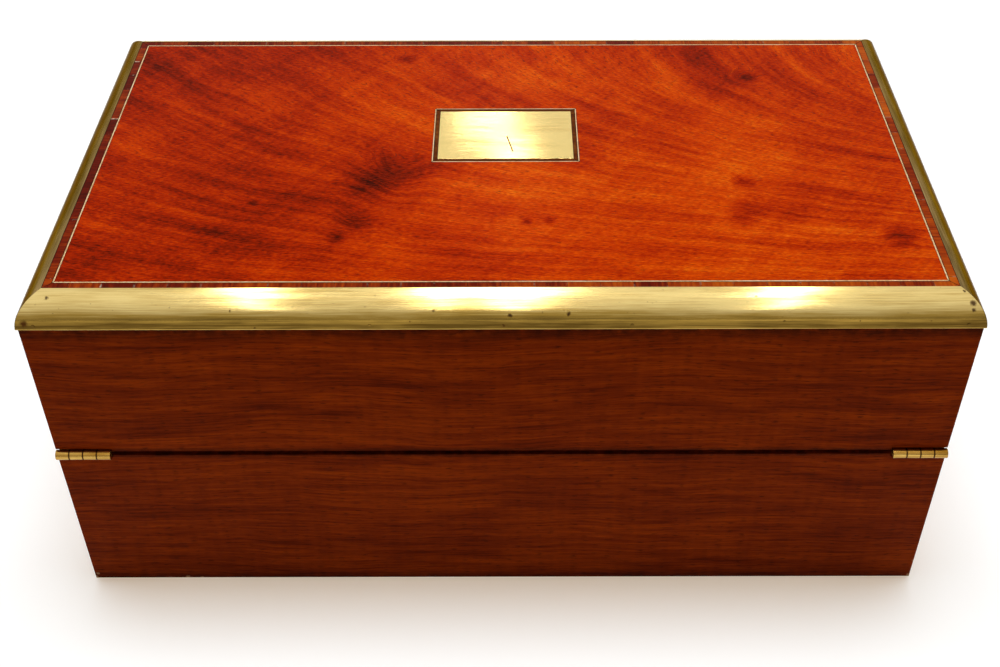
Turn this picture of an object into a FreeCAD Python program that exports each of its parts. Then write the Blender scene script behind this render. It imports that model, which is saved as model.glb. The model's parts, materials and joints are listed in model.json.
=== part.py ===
import FreeCAD, Part
import math
import os
import re
import Sketcher

# A brass-edged writing slope, closed, as a parametric document in millimetres.
#
# Row frame: +Z up, +X to the right seen from the hinge side, the hinge side faces -Y and the lock
# side +Y. The origin is the centre of the underside.
#
# The box is split by a plane that climbs from the hinge side to the lock side. Opened half a turn,
# the lid lies on its brass edges and both halves make one writing slope. Everything that lies along
# that plane is placed in the slope frame: its origin is the axis of the main hinges, v runs up the
# slope and w stands square to it. The base lies at w below 0 and the lid at w above 0.

SIZES = [
    ("box_width", 406, "wooden faces, left to right"),
    ("box_depth", 230, "wooden faces, hinge side to lock side"),
    ("box_height", 178, "underside to the top of the brass"),
    ("slope_angle", 8, "degrees, of the split"),
    ("rim_gap", 2.4, "between the two rims when closed"),
    ("wall", 10, "thickness of the upright boards"),
    ("bottom_board", 8, "thickness"),
    ("baize", 0.8, "thickness of the cloth under the box"),
    ("edge_top_width", 10.3, "brass moulding, seen from above, from the wooden face"),
    ("edge_side_height", 13.9, "brass moulding, seen from the side"),
    ("edge_proud", 0.9, "brass beyond the wooden face"),
    ("edge_rise", 0.3, "brass above the veneer"),
    ("edge_round", 14.8, "radius of the moulding"),
    ("edge_leg", 5, "brass let into the wooden face"),
    ("edge_cover", 4.5, "brass depth over the top board"),
    ("edge_pin_radius", 0.8, "fixing pins of the moulding"),
    ("edge_pin_length", 11, "fixing pins of the moulding"),
    ("edge_pin_drop", 12, "pins below the top"),
    ("long_pin_inset", 7, "pins from the ends of the long mouldings"),
    ("long_pin_spacing", 110, "inner pins of the long mouldings, apart"),
    ("short_pin_inset", 18, "pins from the ends of the short mouldings"),
    ("veneer", 1, "thickness of everything laid on the top board"),
    ("crossband_width", 3.6, "border outside the stringing"),
    ("stringing_width", 0.9, "light line round the panel"),
    ("plaque_length", 64.5, "along X"),
    ("plaque_breadth", 42, "along Y"),
    ("plaque_shift_x", 2, "plaque centre from the middle of the top"),
    ("plaque_shift_y", 13, "plaque centre from the middle of the top"),
    ("plaque_band", 2, "dark band round the plaque"),
    ("plaque_string", 0.8, "light frame round the band"),
    ("hinge_offset", 0.8, "main hinge axis outside the wooden face"),
    ("barrel_radius", 2.35, "main hinge"),
    ("barrel_length", 25, "main hinge"),
    ("knuckle_play", 0.15, "between knuckles"),
    ("barrel_room", 0.3, "wood cut clear round the barrel"),
    ("main_pin_radius", 1, "main hinge pin"),
    ("pin_play", 0.05, "radial, in the knuckles that turn"),
    ("leaf_thickness", 1.2, "main hinge leaf"),
    ("leaf_sink", 0.7, "main hinge leaf let into the rim"),
    ("leaf_width", 7, "main hinge leaf"),
    ("leaf_inset", 1, "leaf edge from the wooden face of the box"),
    ("back_arm", 40, "leaf along the hinge-side rim"),
    ("side_arm", 46, "leaf along the end rim"),
    ("screw_head_radius", 2.1, "countersunk screws"),
    ("screw_radius", 1.1, "countersunk screws"),
    ("screw_length", 7.5, "countersunk screws, head included"),
    ("flap_thickness", 8, "writing flaps and their hinge rails"),
    ("leather", 1, "thickness of the leather let into a flap"),
    ("flap_border", 11, "wooden border round the leather"),
    ("flap_play", 0.6, "flap to the boards round it"),
    ("flap_joint", 1, "flap to its rail"),
    ("rail_width", 13, "fixed rail between hinge-side wall and flap"),
    ("ledge_width", 6, "strips that carry a flap"),
    ("ledge_height", 6, "strips that carry a flap"),
    ("butt_radius", 1.3, "flap hinge barrel"),
    ("butt_length", 27, "flap hinge"),
    ("butt_place", 120, "flap hinge from the middle"),
    ("butt_sink", 0.35, "flap hinge axis below the writing surface"),
    ("butt_leaf", 1, "flap hinge leaf thickness"),
    ("butt_pin_radius", 0.6, "flap hinge pin"),
    ("tab_width", 16, "leather lifting tab"),
    ("tab_length", 15, "leather lifting tab"),
    ("tab_thickness", 0.6, "leather lifting tab"),
    ("pen_depth", 48, "pen compartment, clear, along Y"),
    ("cross_divider", 6, "board between papers and pens"),
    ("cell_width", 48, "inkwell cell, clear, along X"),
    ("cell_divider", 4, "board between inkwell and pens"),
    ("tray_height", 18, "pen tray"),
    ("tray_drop", 7, "pen tray below the rim"),
    ("tray_play", 0.3, "pen tray to its dividers"),
    ("scoop_radius", 26, "hollow of the pen tray"),
    ("scoop_depth", 11.5, "hollow of the pen tray"),
    ("scoop_end", 7, "wood left at the ends of the hollow"),
    ("bearer_width", 8, "strips under the pen tray"),
    ("bearer_height", 6, "strips under the pen tray"),
    ("well_headroom", 4, "cap below the rim"),
    ("well_width", 38, "glass inkwell, square"),
    ("well_height", 27, "glass inkwell, to the shoulder"),
    ("well_corner", 4, "cut corners of the glass"),
    ("neck_radius", 12.5, "glass neck"),
    ("neck_height", 5, "glass neck"),
    ("mouth_radius", 9.5, "glass mouth"),
    ("bore_radius", 14, "hollow of the glass"),
    ("glass_floor", 4, "glass under the hollow"),
    ("glass_shoulder", 4, "glass over the hollow"),
    ("collar_radius", 14.2, "brass collar on the neck"),
    ("collar_play", 0.1, "collar to neck"),
    ("collar_height", 5.2, "brass collar"),
    ("cap_radius", 14.6, "brass cap"),
    ("cap_rim_height", 2.6, "brass cap, straight rim"),
    ("cap_height", 5.4, "brass cap, whole"),
    ("cap_top_radius", 7.3, "flat top of the brass cap"),
    ("cap_knuckle_radius", 1.4, "cap hinge"),
    ("cap_knuckle_length", 3.2, "cap hinge, each knuckle"),
    ("cap_pin_radius", 0.6, "cap hinge pin"),
    ("lock_length", 60, "lock case"),
    ("lock_height", 34, "lock case, below the rim"),
    ("lock_depth", 6.2, "lock case"),
    ("lock_skin", 0.8, "lock case sheet"),
    ("lock_top", 1.5, "lock case, under the rim"),
    ("lock_plate", 1.2, "cover plate thickness"),
    ("plate_lip", 7, "cover plate beyond the case, each end"),
    ("link_inset", 13, "middle of a link from the end of the lock case"),
    ("link_spacing", "=lock_length - 2*link_inset", "between the two links"),
    ("link_thickness", 2.5, "along X"),
    ("link_width", 3.2, "along the slope"),
    ("eye_depth", 5.5, "eye of the link below the rim"),
    ("eye_width", 1.8, "hole in the link"),
    ("eye_height", 3.4, "hole in the link"),
    ("link_tip", 2.6, "link below the middle of its eye"),
    ("link_plate", 1.4, "thickness"),
    ("link_plate_width", 7.6, "along the slope"),
    ("slot_play", 0.45, "link to its slot"),
    ("prong_width", 1.2, "bolt prong, along Y"),
    ("prong_height", 2.2, "bolt prong, along Z"),
    ("prong_play", 0.5, "prong tip to link when unlocked"),
    ("prong_length", 5.4, "bolt prong"),
    ("riser_length", 3, "bolt riser, along X"),
    ("bolt_height", 4.5, "bolt bar"),
    ("bolt_play", 0.3, "bolt to the case"),
    ("key_shank_radius", 2, "key"),
    ("key_reach", 5.2, "key bit beyond the shank"),
    ("bit_thickness", 1.8, "key bit"),
    ("bit_width", 3.6, "key bit, along the key"),
    ("key_play", 0.4, "key to keyhole, lock and bolt"),
    ("key_outside", 17, "key shank outside the box"),
    ("key_collar_place", 6, "collar of the key, from the end of its shank"),
    ("key_collar_length", 2, "collar of the key"),
    ("key_collar_radius", 3, "collar of the key"),
    ("bow_radius", 7, "ring of the key, to the middle of its wire"),
    ("bow_wire", 1.6, "radius of the key's wire"),
    ("escutcheon", 1, "thickness"),
    ("escutcheon_lip", 2.4, "brass round the keyhole"),
]
SIZE = {name: number for name, number, meaning in SIZES}

# Heights and places that several pieces share, as formulas of the sizes
PIVOT_Y = "(-box_depth/2 - hinge_offset)"
PIVOT_Z = "box_height/2"
HALF_GAP = "rim_gap/2"
INNER_X = "(box_width/2 - wall)"
HINGE_INNER = "(-box_depth/2 + wall)"
LOCK_INNER = "(box_depth/2 - wall)"
FLOOR = "(baize + bottom_board)"
LID_WALL_TOP = "(box_height - edge_side_height)"
TOP_SURFACE = "(box_height - edge_rise)"
DIVIDER_Y = f"({LOCK_INNER} - pen_depth - cross_divider)"
PENS_Y = f"({LOCK_INNER} - pen_depth)"
CELL_X = f"({INNER_X} - cell_width)"
FLAP_HINGE = "(hinge_offset + wall + rail_width)"
BUTT_W = f"({HALF_GAP} + butt_sink)"
PLATE_START = "(barrel_radius + barrel_room)"
LEAF_EDGE = "(box_width/2 - leaf_inset)"
LEAF_FAR = "(hinge_offset + leaf_inset + leaf_width)"
HEAD_HEIGHT = "(screw_head_radius - screw_radius)"
# How far a cutting tool runs past what it cuts
BEYOND = "wall"

BASE, LID = -1, 1
LEFT, RIGHT = -1, 1
MAIN_KNUCKLES = 4
BUTT_KNUCKLES = 3
# Degrees a tilted object is made with, so that its axis is kept until the slope's own angle is bound
START_ANGLE = 5

doc = FreeCAD.newDocument("WritingSlope")
sub_parts = []


def with_sheet(formula):
    """The names of sizes in a formula get the sheet's name in front."""
    return re.sub(r"[a-z][a-z_]*", lambda word: "Sizes." + word.group() if word.group() in SIZE
                  else word.group(), str(formula))


def bind(thing, **formulas):
    """Bind properties of an object; two underscores stand for the dot in a property's path."""
    for path, formula in formulas.items():
        thing.setExpression(path.replace("__", "."), with_sheet(formula))
    return thing


def make_sheet():
    sheet = doc.addObject("Spreadsheet::Sheet", "Sizes")
    for row, (name, number, meaning) in enumerate(SIZES, start=1):
        sheet.set(f"A{row}", meaning)
        sheet.set(f"B{row}", str(number))
        sheet.setAlias(f"B{row}", name)
    doc.recompute()


def rim_z(y, half):
    """Height of a rim at a place along Y: half is BASE or LID."""
    return f"({PIVOT_Z} + (({y}) - {PIVOT_Y})*tan(slope_angle) + {half}*{HALF_GAP}/cos(slope_angle))"


def upright_v(y, w):
    """Where an upright face at y meets the height w of the slope frame."""
    return f"((({y}) - {PIVOT_Y} + ({w})*sin(slope_angle))/cos(slope_angle))"


def slope_y(v, w):
    return f"({PIVOT_Y} + ({v})*cos(slope_angle) - ({w})*sin(slope_angle))"


def slope_z(v, w):
    return f"({PIVOT_Z} + ({v})*sin(slope_angle) + ({w})*cos(slope_angle))"


def span(low, high, sign=1):
    """A range, or its mirror image."""
    return (low, high) if sign > 0 else (f"-({high})", f"-({low})")


def tilt(thing, sloping):
    """Turn an object from level into the slope frame's direction."""
    if sloping:
        thing.Placement.Rotation = FreeCAD.Rotation(FreeCAD.Vector(1, 0, 0), START_ANGLE)
        bind(thing, Placement__Rotation__Angle="slope_angle")


def locate(thing, x, y, z, sloping):
    """Bind an object's place, given in the row frame or, if sloping, in the slope frame."""
    if sloping:
        y, z = slope_y(y, z), slope_z(y, z)
    return bind(thing, Placement__Base__x=x, Placement__Base__y=y, Placement__Base__z=z)


def block(name, x, y, z, sloping=False):
    """A box from three ranges."""
    box = doc.addObject("Part::Box", name)
    tilt(box, sloping)
    locate(box, x[0], y[0], z[0], sloping)
    return bind(box, Length=f"({x[1]}) - ({x[0]})", Width=f"({y[1]}) - ({y[0]})",
                Height=f"({z[1]}) - ({z[0]})")


def rod(name, axis, start, length, radius, sloping=False):
    """A cylinder from its start along axis, which is X, Y or Z of its frame."""
    cylinder = doc.addObject("Part::Cylinder", name)
    if axis == "X":
        cylinder.Placement.Rotation = FreeCAD.Rotation(FreeCAD.Vector(0, 1, 0), 90)
    elif axis == "Y":
        cylinder.Placement.Rotation = FreeCAD.Rotation(FreeCAD.Vector(1, 0, 0), -90)
    else:
        tilt(cylinder, sloping)
    locate(cylinder, *start, sloping)
    return bind(cylinder, Height=length, Radius=radius)


def fuse(name, shapes):
    fusion = doc.addObject("Part::MultiFuse", name)
    fusion.Shapes = shapes
    fusion.Refine = True
    return fusion


def cut(name, base, tools):
    result = doc.addObject("Part::Cut", name)
    result.Base = base
    result.Tool = tools[0] if len(tools) == 1 else fuse(name + "_tools", tools)
    return result


def group(name, shapes):
    compound = doc.addObject("Part::Compound", name)
    compound.Links = shapes
    return compound


def plane_of(body, role):
    return next(feature for feature in body.Origin.OriginFeatures if feature.Role == role)


def outline(body, name, plane, corners, offset="0"):
    """A closed sketch of straight lines whose corners are bound to formulas."""
    sketch = body.newObject("Sketcher::SketchObject", name)
    sketch.AttachmentSupport = [(plane_of(body, plane), "")]
    sketch.MapMode = "FlatFace"
    bind(sketch, AttachmentOffset__Base__z=offset)
    count = len(corners)
    angles = [math.tau*i/count for i in range(count)]
    start = [FreeCAD.Vector(math.cos(angle), math.sin(angle), 0) for angle in angles]
    for i in range(count):
        sketch.addGeometry(Part.LineSegment(start[i], start[(i + 1) % count]), False)
    for i, corner in enumerate(corners):
        sketch.addConstraint(Sketcher.Constraint("Coincident", i, 2, (i + 1) % count, 1))
        pin_point(sketch, f"corner{i}", i, 1, start[i], corner)
    return sketch


def pin_point(sketch, name, line, end, start, formulas):
    """Tie one point of a sketch to two formulas."""
    kinds = ("DistanceX", "DistanceY")
    for kind, value, formula in zip(kinds, (start.x, start.y), formulas):
        number = sketch.addConstraint(Sketcher.Constraint(kind, -1, 1, line, end, value))
        constraint = f"{name}_{kind[-1].lower()}"
        sketch.renameConstraint(number, constraint)
        sketch.setExpression("Constraints." + constraint, with_sheet(formula))


def pad(body, name, sketch, length, both_ways=False):
    feature = body.newObject("PartDesign::Pad", name)
    feature.Profile = sketch
    feature.Midplane = both_ways
    return bind(feature, Length=length)


def board(name, corners, x, sloping=False):
    """A board whose section in the YZ plane is a polygon, along a range of X."""
    body = doc.addObject("PartDesign::Body", name)
    tilt(body, sloping)
    if sloping:
        locate(body, "0", "0", "0", True)
    sketch = outline(body, name + "_section", "YZ_Plane", corners, offset=x[0])
    pad(body, name + "_pad", sketch, f"({x[1]}) - ({x[0]})")
    return body


def keep(thing, label):
    """Make an object a sub-part: its label is the name of its node."""
    thing.Label = label
    sub_parts.append(thing)
    return thing


def both_sides(x):
    return (f"-({x})", x)


def upright_section(y, level, half):
    """Corners of an upright board between two places along Y, from a level to the half's rim."""
    return [(y[0], level), (y[1], level), (y[1], rim_z(y[1], half)), (y[0], rim_z(y[0], half))]


def sloping_section(start, end, top, under):
    """Corners of a board along the slope between w = top and w = under; start and end give v for a w."""
    return [(start(top), top), (end(top), top), (end(under), under), (start(under), under)]


def half_name(half):
    return "base" if half == BASE else "lid"


def side_name(side):
    return "left" if side == LEFT else "right"


def layer(half, near, far):
    """A range of w on one half, from two distances off the mid-plane of the split."""
    return span(near, far, half)


# Countersunk screws, all alike

def screw(name, x, y, z, half=BASE, sloping=True):
    """A screw with its head at w = z of the slope frame, pointing away from the split."""
    head = doc.addObject("Part::Cone", name + "_head")
    tilt(head, sloping)
    locate(head, x, y, f"({z}) - {HEAD_HEIGHT}" if half == BASE else z, sloping)
    if half == BASE:
        bind(head, Radius1="screw_radius", Radius2="screw_head_radius", Height=HEAD_HEIGHT)
    else:
        bind(head, Radius1="screw_head_radius", Radius2="screw_radius", Height=HEAD_HEIGHT)
    shank_start = f"({z}) - screw_length" if half == BASE else z
    shank = rod(name + "_shank", "Z", (x, y, shank_start), "screw_length", "screw_radius", sloping)
    return fuse(name, [head, shank])


def plate_screw(name, x, z):
    """A screw through the lock's cover plate, pointing at the lock face."""
    head = doc.addObject("Part::Cone", name + "_head")
    head.Placement.Rotation = FreeCAD.Rotation(FreeCAD.Vector(1, 0, 0), -90)
    locate(head, x, LOCK_INNER, z, False)
    bind(head, Radius1="screw_head_radius", Radius2="screw_radius", Height=HEAD_HEIGHT)
    shank = rod(name + "_shank", "Y", (x, LOCK_INNER, z), "screw_length", "screw_radius")
    return fuse(name, [head, shank])


# Main hinges: one at each end of the split, each with an L-shaped leaf in both rims

def hinge_leaf_w(half):
    """The range of w that a main hinge leaf fills."""
    return layer(half, f"{HALF_GAP} + leaf_sink - leaf_thickness", f"{HALF_GAP} + leaf_sink")


def hinge_leaf_blocks(name, side, w):
    """The two arms of an L-shaped leaf."""
    back_x = span("box_width/2 - back_arm", LEAF_EDGE, side)
    side_x = span(f"{LEAF_EDGE} - leaf_width", LEAF_EDGE, side)
    return [block(name + "_back_arm", back_x, (PLATE_START, LEAF_FAR), w, True),
            block(name + "_side_arm", side_x, (PLATE_START, "side_arm"), w, True)]


def hinge_screw_places(side):
    """Middles of the three screws of a leaf, in x and v."""
    middle = f"(({PLATE_START} + {LEAF_FAR})/2)"
    corner = f"({LEAF_EDGE} - leaf_width/2)"
    places = [("box_width/2 - back_arm + leaf_width/2", middle), (corner, middle),
              (corner, "side_arm - leaf_width/2")]
    return [(x if side == RIGHT else f"-({x})", v) for x, v in places]


def hinge_screws(half):
    """The screws of both leaves in one rim, all of one half."""
    head = f"{half}*({HALF_GAP} + leaf_sink - leaf_thickness)"
    return [screw(f"{half_name(half)}_hinge_screw_{side_name(side)}_{number}", x, v, head, half)
            for side in (LEFT, RIGHT)
            for number, (x, v) in enumerate(hinge_screw_places(side), start=1)]


def hinge_leaf(half, side, screws):
    """One leaf with its two knuckles; the base's knuckles hold the pin."""
    name = f"{half_name(half)}_hinge_leaf_{side_name(side)}"
    pieces = hinge_leaf_blocks(name, side, hinge_leaf_w(half))
    first = 0 if half == BASE else 1
    for number in range(first, MAIN_KNUCKLES, 2):
        x = span(f"box_width/2 - barrel_length*{number + 1}/{MAIN_KNUCKLES} + knuckle_play/2",
                 f"box_width/2 - barrel_length*{number}/{MAIN_KNUCKLES} - knuckle_play/2", side)
        length = f"({x[1]}) - ({x[0]})"
        pieces.append(rod(f"{name}_knuckle_{number}", "X", (x[0], "0", "0"), length, "barrel_radius", True))
        pieces.append(block(f"{name}_tab_{number}", x, ("0", PLATE_START), hinge_leaf_w(half), True))
    bore_radius = "main_pin_radius" if half == BASE else "main_pin_radius + pin_play"
    barrel = span("box_width/2 - barrel_length", "box_width/2", side)
    bore = rod(name + "_bore", "X", (barrel[0], "0", "0"), "barrel_length", bore_radius, True)
    return keep(cut(name, fuse(name + "_solid", pieces), [bore] + screws), name)


def hinge_pins():
    pins = []
    for side in (LEFT, RIGHT):
        barrel = span("box_width/2 - barrel_length + knuckle_play/2", "box_width/2 - knuckle_play/2", side)
        pins.append(rod(f"main_pin_{side_name(side)}", "X", (barrel[0], "0", "0"),
                        "barrel_length - knuckle_play", "main_pin_radius", True))
    return keep(group("hinge_pins_group", pins), "main_hinge_pins")


def hinge_cuts(half):
    """What both main hinges take out of the rims: leaf mortises and room for the barrel."""
    tools = []
    for side in (LEFT, RIGHT):
        name = f"{half_name(half)}_{side_name(side)}_mortise"
        tools += hinge_leaf_blocks(name, side, layer(half, "0", f"{HALF_GAP} + leaf_sink"))
        x = span("box_width/2 - barrel_length - barrel_room", f"box_width/2 + {BEYOND}", side)
        w = layer(half, "0", "barrel_radius + barrel_room")
        tools.append(block(name + "_barrel", x, (f"-{BEYOND}", PLATE_START), w, True))
    return tools


# The lock: a case let into the lock-side wall, links on the lid, a sliding bolt and a key

CASE_Y = (f"({LOCK_INNER} + lock_plate)", f"({LOCK_INNER} + lock_plate + lock_depth)")
CAVITY_Y = (CASE_Y[0], f"({CASE_Y[1]} - lock_skin)")
EYE_Y = f"({LOCK_INNER} + lock_plate + (lock_depth - lock_skin)/2)"
EYE_W = f"(-{HALF_GAP} - eye_depth)"
EYE_V = upright_v(EYE_Y, EYE_W)
EYE_Z = slope_z(EYE_V, EYE_W)
CASE_BOTTOM = f"({rim_z(LOCK_INNER, BASE)} - lock_height)"
KEY_SWEEP = "(key_shank_radius + key_reach + key_play)"
KEY_Z = f"({CASE_BOTTOM} + lock_skin + {KEY_SWEEP})"
BOLT_Z = f"({KEY_Z} + {KEY_SWEEP})"
PLATE_HALF = "(lock_length/2 + plate_lip)"
LINK_PLATE_V = upright_v(f"{LOCK_INNER} + (wall - link_plate_width)/2", HALF_GAP)


def keyhole(name, y):
    """The round and the slot of the keyhole, along a range of Y."""
    radius = "(key_shank_radius + key_play)"
    slot = "(bit_thickness/2 + key_play)"
    hole = rod(name + "_round", "Y", ("0", y[0], KEY_Z), f"({y[1]}) - ({y[0]})", radius)
    below = block(name + "_slot", both_sides(slot), y, (f"{KEY_Z} - {KEY_SWEEP}", KEY_Z))
    return fuse(name, [hole, below])


def link_slots(name):
    """The two slots in the case's top."""
    reach_x = "(link_thickness/2 + slot_play)"
    reach_v = "(link_width/2 + slot_play)"
    v = (f"{EYE_V} - {reach_v}", f"{EYE_V} + {reach_v}")
    slots = []
    for side in (LEFT, RIGHT):
        x = span(f"link_spacing/2 - {reach_x}", f"link_spacing/2 + {reach_x}", side)
        slots.append(block(f"{name}_{side_name(side)}", x, v, (EYE_W, "0"), True))
    return slots


def lock_case():
    solid = board("lock_case_solid", upright_section(CASE_Y, CASE_BOTTOM, BASE), both_sides("lock_length/2"))
    under = f"{rim_z(CASE_Y[0], BASE)} - lock_top"
    hollow = block("lock_case_hollow", both_sides("lock_length/2 - lock_skin"), CAVITY_Y,
                   (f"{CASE_BOTTOM} + lock_skin", under))
    hole = keyhole("lock_case_keyhole", CASE_Y)
    return keep(cut("lock_case_cut", solid, [hollow, hole] + link_slots("case_slot")), "lock_case")


def plate_screw_places():
    x = "(lock_length/2 + plate_lip/2)"
    low = f"({CASE_BOTTOM} + plate_lip)"
    high = f"({CASE_BOTTOM} + lock_height - plate_lip)"
    return [(f"-{x}", low), (x, low), (f"-{x}", high), (x, high)]


def lock_plate(screws):
    """The cover plate, flush with the inner face of the wall."""
    section = upright_section((LOCK_INNER, CASE_Y[0]), CASE_BOTTOM, BASE)
    sheet = board("lock_plate_board", section, both_sides(PLATE_HALF))
    return keep(cut("lock_plate_cut", sheet, screws), "lock_plate")


def lock_cuts():
    """What the lock takes out of the lock-side wall of the base."""
    z = (CASE_BOTTOM, f"({rim_z('box_depth/2', BASE)} + {BEYOND})")
    return [block("lock_plate_recess", both_sides(PLATE_HALF), (LOCK_INNER, CASE_Y[0]), z),
            block("lock_case_recess", both_sides("lock_length/2"), CASE_Y, z),
            keyhole("wall_keyhole", (CASE_Y[0], f"box_depth/2 + {BEYOND}")),
            escutcheon_outline("escutcheon_recess")]


def escutcheon_outline(name):
    """A round head with a skirt, as thick as the escutcheon, in the outer face."""
    y = ("box_depth/2 - escutcheon", "box_depth/2")
    radius = "(key_shank_radius + key_play + escutcheon_lip)"
    skirt = "(bit_thickness/2 + key_play + escutcheon_lip)"
    head = rod(name + "_head", "Y", ("0", y[0], KEY_Z), "escutcheon", radius)
    z = (f"{KEY_Z} - {KEY_SWEEP} - escutcheon_lip", KEY_Z)
    below = block(name + "_skirt", both_sides(skirt), y, z)
    return fuse(name, [head, below])


def escutcheon():
    hole = keyhole("escutcheon_keyhole", ("box_depth/2 - escutcheon", "box_depth/2"))
    return keep(cut("escutcheon_cut", escutcheon_outline("escutcheon_solid"), [hole]), "key_escutcheon")


def lock_bolt():
    """A bar under the links with two risers, each with a prong that enters a link's eye."""
    y_bar = (f"{CAVITY_Y[0]} + bolt_play", f"{CAVITY_Y[1]} - bolt_play")
    tip = "(link_spacing/2 - link_thickness/2 - prong_play)"
    other_tip = "(-link_spacing/2 - link_thickness/2 - prong_play)"
    bar_x = (f"{other_tip} - prong_length - riser_length", tip)
    pieces = [block("bolt_bar", bar_x, y_bar, (BOLT_Z, f"{BOLT_Z} + bolt_height"))]
    y_prong = (f"{EYE_Y} - prong_width/2", f"{EYE_Y} + prong_width/2")
    prong_z = (f"({EYE_Z} - prong_height/2)", f"({EYE_Z} + prong_height/2)")
    for number, end in enumerate((other_tip, tip)):
        start = f"({end} - prong_length - riser_length)"
        riser_x = (start, f"{start} + riser_length")
        pieces.append(block(f"bolt_riser_{number}", riser_x, y_prong, (BOLT_Z, prong_z[1])))
        pieces.append(block(f"bolt_prong_{number}", (start, end), y_prong, prong_z))
    return keep(fuse("lock_bolt_solid", pieces), "lock_bolt")


def link_plate_block(name, start):
    """The room that the link plate fills in the lid's rim, from a height w up."""
    v = (LINK_PLATE_V, f"{LINK_PLATE_V} + link_plate_width")
    return block(name, both_sides("lock_length/2"), v, (start, f"{HALF_GAP} + link_plate"), True)


def link_plate(screws):
    """The plate in the lid's rim with the two eyed links that hang into the lock."""
    pieces = [link_plate_block("link_plate_bar", HALF_GAP)]
    link_v = (f"{EYE_V} - link_width/2", f"{EYE_V} + link_width/2")
    link_w = (f"{EYE_W} - link_tip", f"{HALF_GAP} + link_plate/2")
    eye_v = (f"{EYE_V} - eye_width/2", f"{EYE_V} + eye_width/2")
    eye_w = (f"{EYE_W} - eye_height/2", f"{EYE_W} + eye_height/2")
    eyes = []
    for side in (LEFT, RIGHT):
        x = span("link_spacing/2 - link_thickness/2", "link_spacing/2 + link_thickness/2", side)
        pieces.append(block(f"link_{side_name(side)}", x, link_v, link_w, True))
        eyes.append(block(f"link_eye_{side_name(side)}", x, eye_v, eye_w, True))
    return keep(cut("link_plate_cut", fuse("link_plate_solid", pieces), eyes + screws), "link_plate")


def link_plate_screws():
    x = "(lock_length/2 - screw_head_radius*2)"
    v = f"({LINK_PLATE_V} + link_plate_width/2)"
    return [screw(f"link_screw_{number}", place, v, HALF_GAP, LID)
            for number, place in enumerate(both_sides(x))]


def key():
    """A ward key: ring, shank and bit, with the bit down."""
    tip = f"({CAVITY_Y[0]} + key_play)"
    end = "(box_depth/2 + key_outside)"
    shank = rod("key_shank", "Y", ("0", tip, KEY_Z), f"{end} - {tip}", "key_shank_radius")
    bit_start = f"({tip} + key_play)"
    bit = block("key_bit", both_sides("bit_thickness/2"), (bit_start, f"{bit_start} + bit_width"),
                (f"{KEY_Z} - key_shank_radius - key_reach", KEY_Z))
    collar_start = ("0", f"{end} - key_collar_place", KEY_Z)
    collar = rod("key_collar", "Y", collar_start, "key_collar_length", "key_collar_radius")
    bow = doc.addObject("Part::Torus", "key_bow")
    bow.Placement.Rotation = FreeCAD.Rotation(FreeCAD.Vector(0, 1, 0), 90)
    locate(bow, "0", f"{end} + bow_radius - bow_wire/2", KEY_Z, False)
    bind(bow, Radius1="bow_radius", Radius2="bow_wire")
    return keep(fuse("key_solid", [shank, bit, collar, bow]), "key")


# Walls

def wall_section(y, half):
    """An outer board of one half between two places along Y."""
    return upright_section(y, "0" if half == BASE else LID_WALL_TOP, half)


def walls(half, hinge_tools, lock_tools):
    name = half_name(half)
    full = both_sides("box_width/2")
    hinge_wall = board(name + "_hinge_wall_board", wall_section(("-box_depth/2", HINGE_INNER), half), full)
    keep(cut(name + "_hinge_wall_cut", hinge_wall, hinge_tools), name + "_hinge_wall")
    lock_wall = board(name + "_lock_wall_board", wall_section((LOCK_INNER, "box_depth/2"), half), full)
    keep(cut(name + "_lock_wall_cut", lock_wall, lock_tools), name + "_lock_wall")
    for side in (LEFT, RIGHT):
        end = board(f"{name}_end_{side_name(side)}_board", wall_section((HINGE_INNER, LOCK_INNER), half),
                    span(INNER_X, "box_width/2", side))
        keep(cut(f"{name}_end_{side_name(side)}_cut", end, hinge_tools), f"{name}_end_{side_name(side)}")


# Writing flaps, their rails, ledges, leather, tabs and hinges

def flap_end_v(half, w):
    """The free end of a flap: upright in the base, beside the divider, and square in the lid."""
    if half == BASE:
        return upright_v(f"{DIVIDER_Y} - flap_play", w)
    return upright_v(f"{LOCK_INNER} - flap_play", HALF_GAP)


def hinge_pockets(half, near, far):
    """Room for both flap hinges in the edge of a board, between two places along v."""
    reach = "(butt_length/2 + barrel_room)"
    return [block(f"{half_name(half)}_butt_pocket_{side_name(side)}",
                  (f"{side}*butt_place - {reach}", f"{side}*butt_place + {reach}"),
                  (near, far), layer(half, HALF_GAP, f"{HALF_GAP} + flap_thickness"), True)
            for side in (LEFT, RIGHT)]


def flap_faces(half):
    """The heights w of the writing surface and of the underside of a flap."""
    return f"{half}*{HALF_GAP}", f"{half}*({HALF_GAP} + flap_thickness)"


def flap_rail(half):
    name = half_name(half) + "_flap_rail"
    edge = f"({FLAP_HINGE} - flap_joint/2)"
    section = sloping_section(lambda w: upright_v(HINGE_INNER, w), lambda w: edge, *flap_faces(half))
    rail = board(name + "_board", section, both_sides(INNER_X), True)
    pockets = hinge_pockets(half, f"{FLAP_HINGE} - butt_radius - barrel_room", FLAP_HINGE)
    return keep(cut(name + "_cut", rail, pockets), name)


def flap_panel(half):
    name = half_name(half) + "_flap_panel"
    edge = f"({FLAP_HINGE} + flap_joint/2)"
    section = sloping_section(lambda w: edge, lambda w: flap_end_v(half, w), *flap_faces(half))
    panel = board(name + "_board", section, both_sides(f"{INNER_X} - flap_play"), True)
    tools = hinge_pockets(half, FLAP_HINGE, f"{FLAP_HINGE} + butt_radius + barrel_room")
    tools.append(leather_block(half, name + "_leather_recess"))
    return keep(cut(name + "_cut", panel, tools), name)


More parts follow.
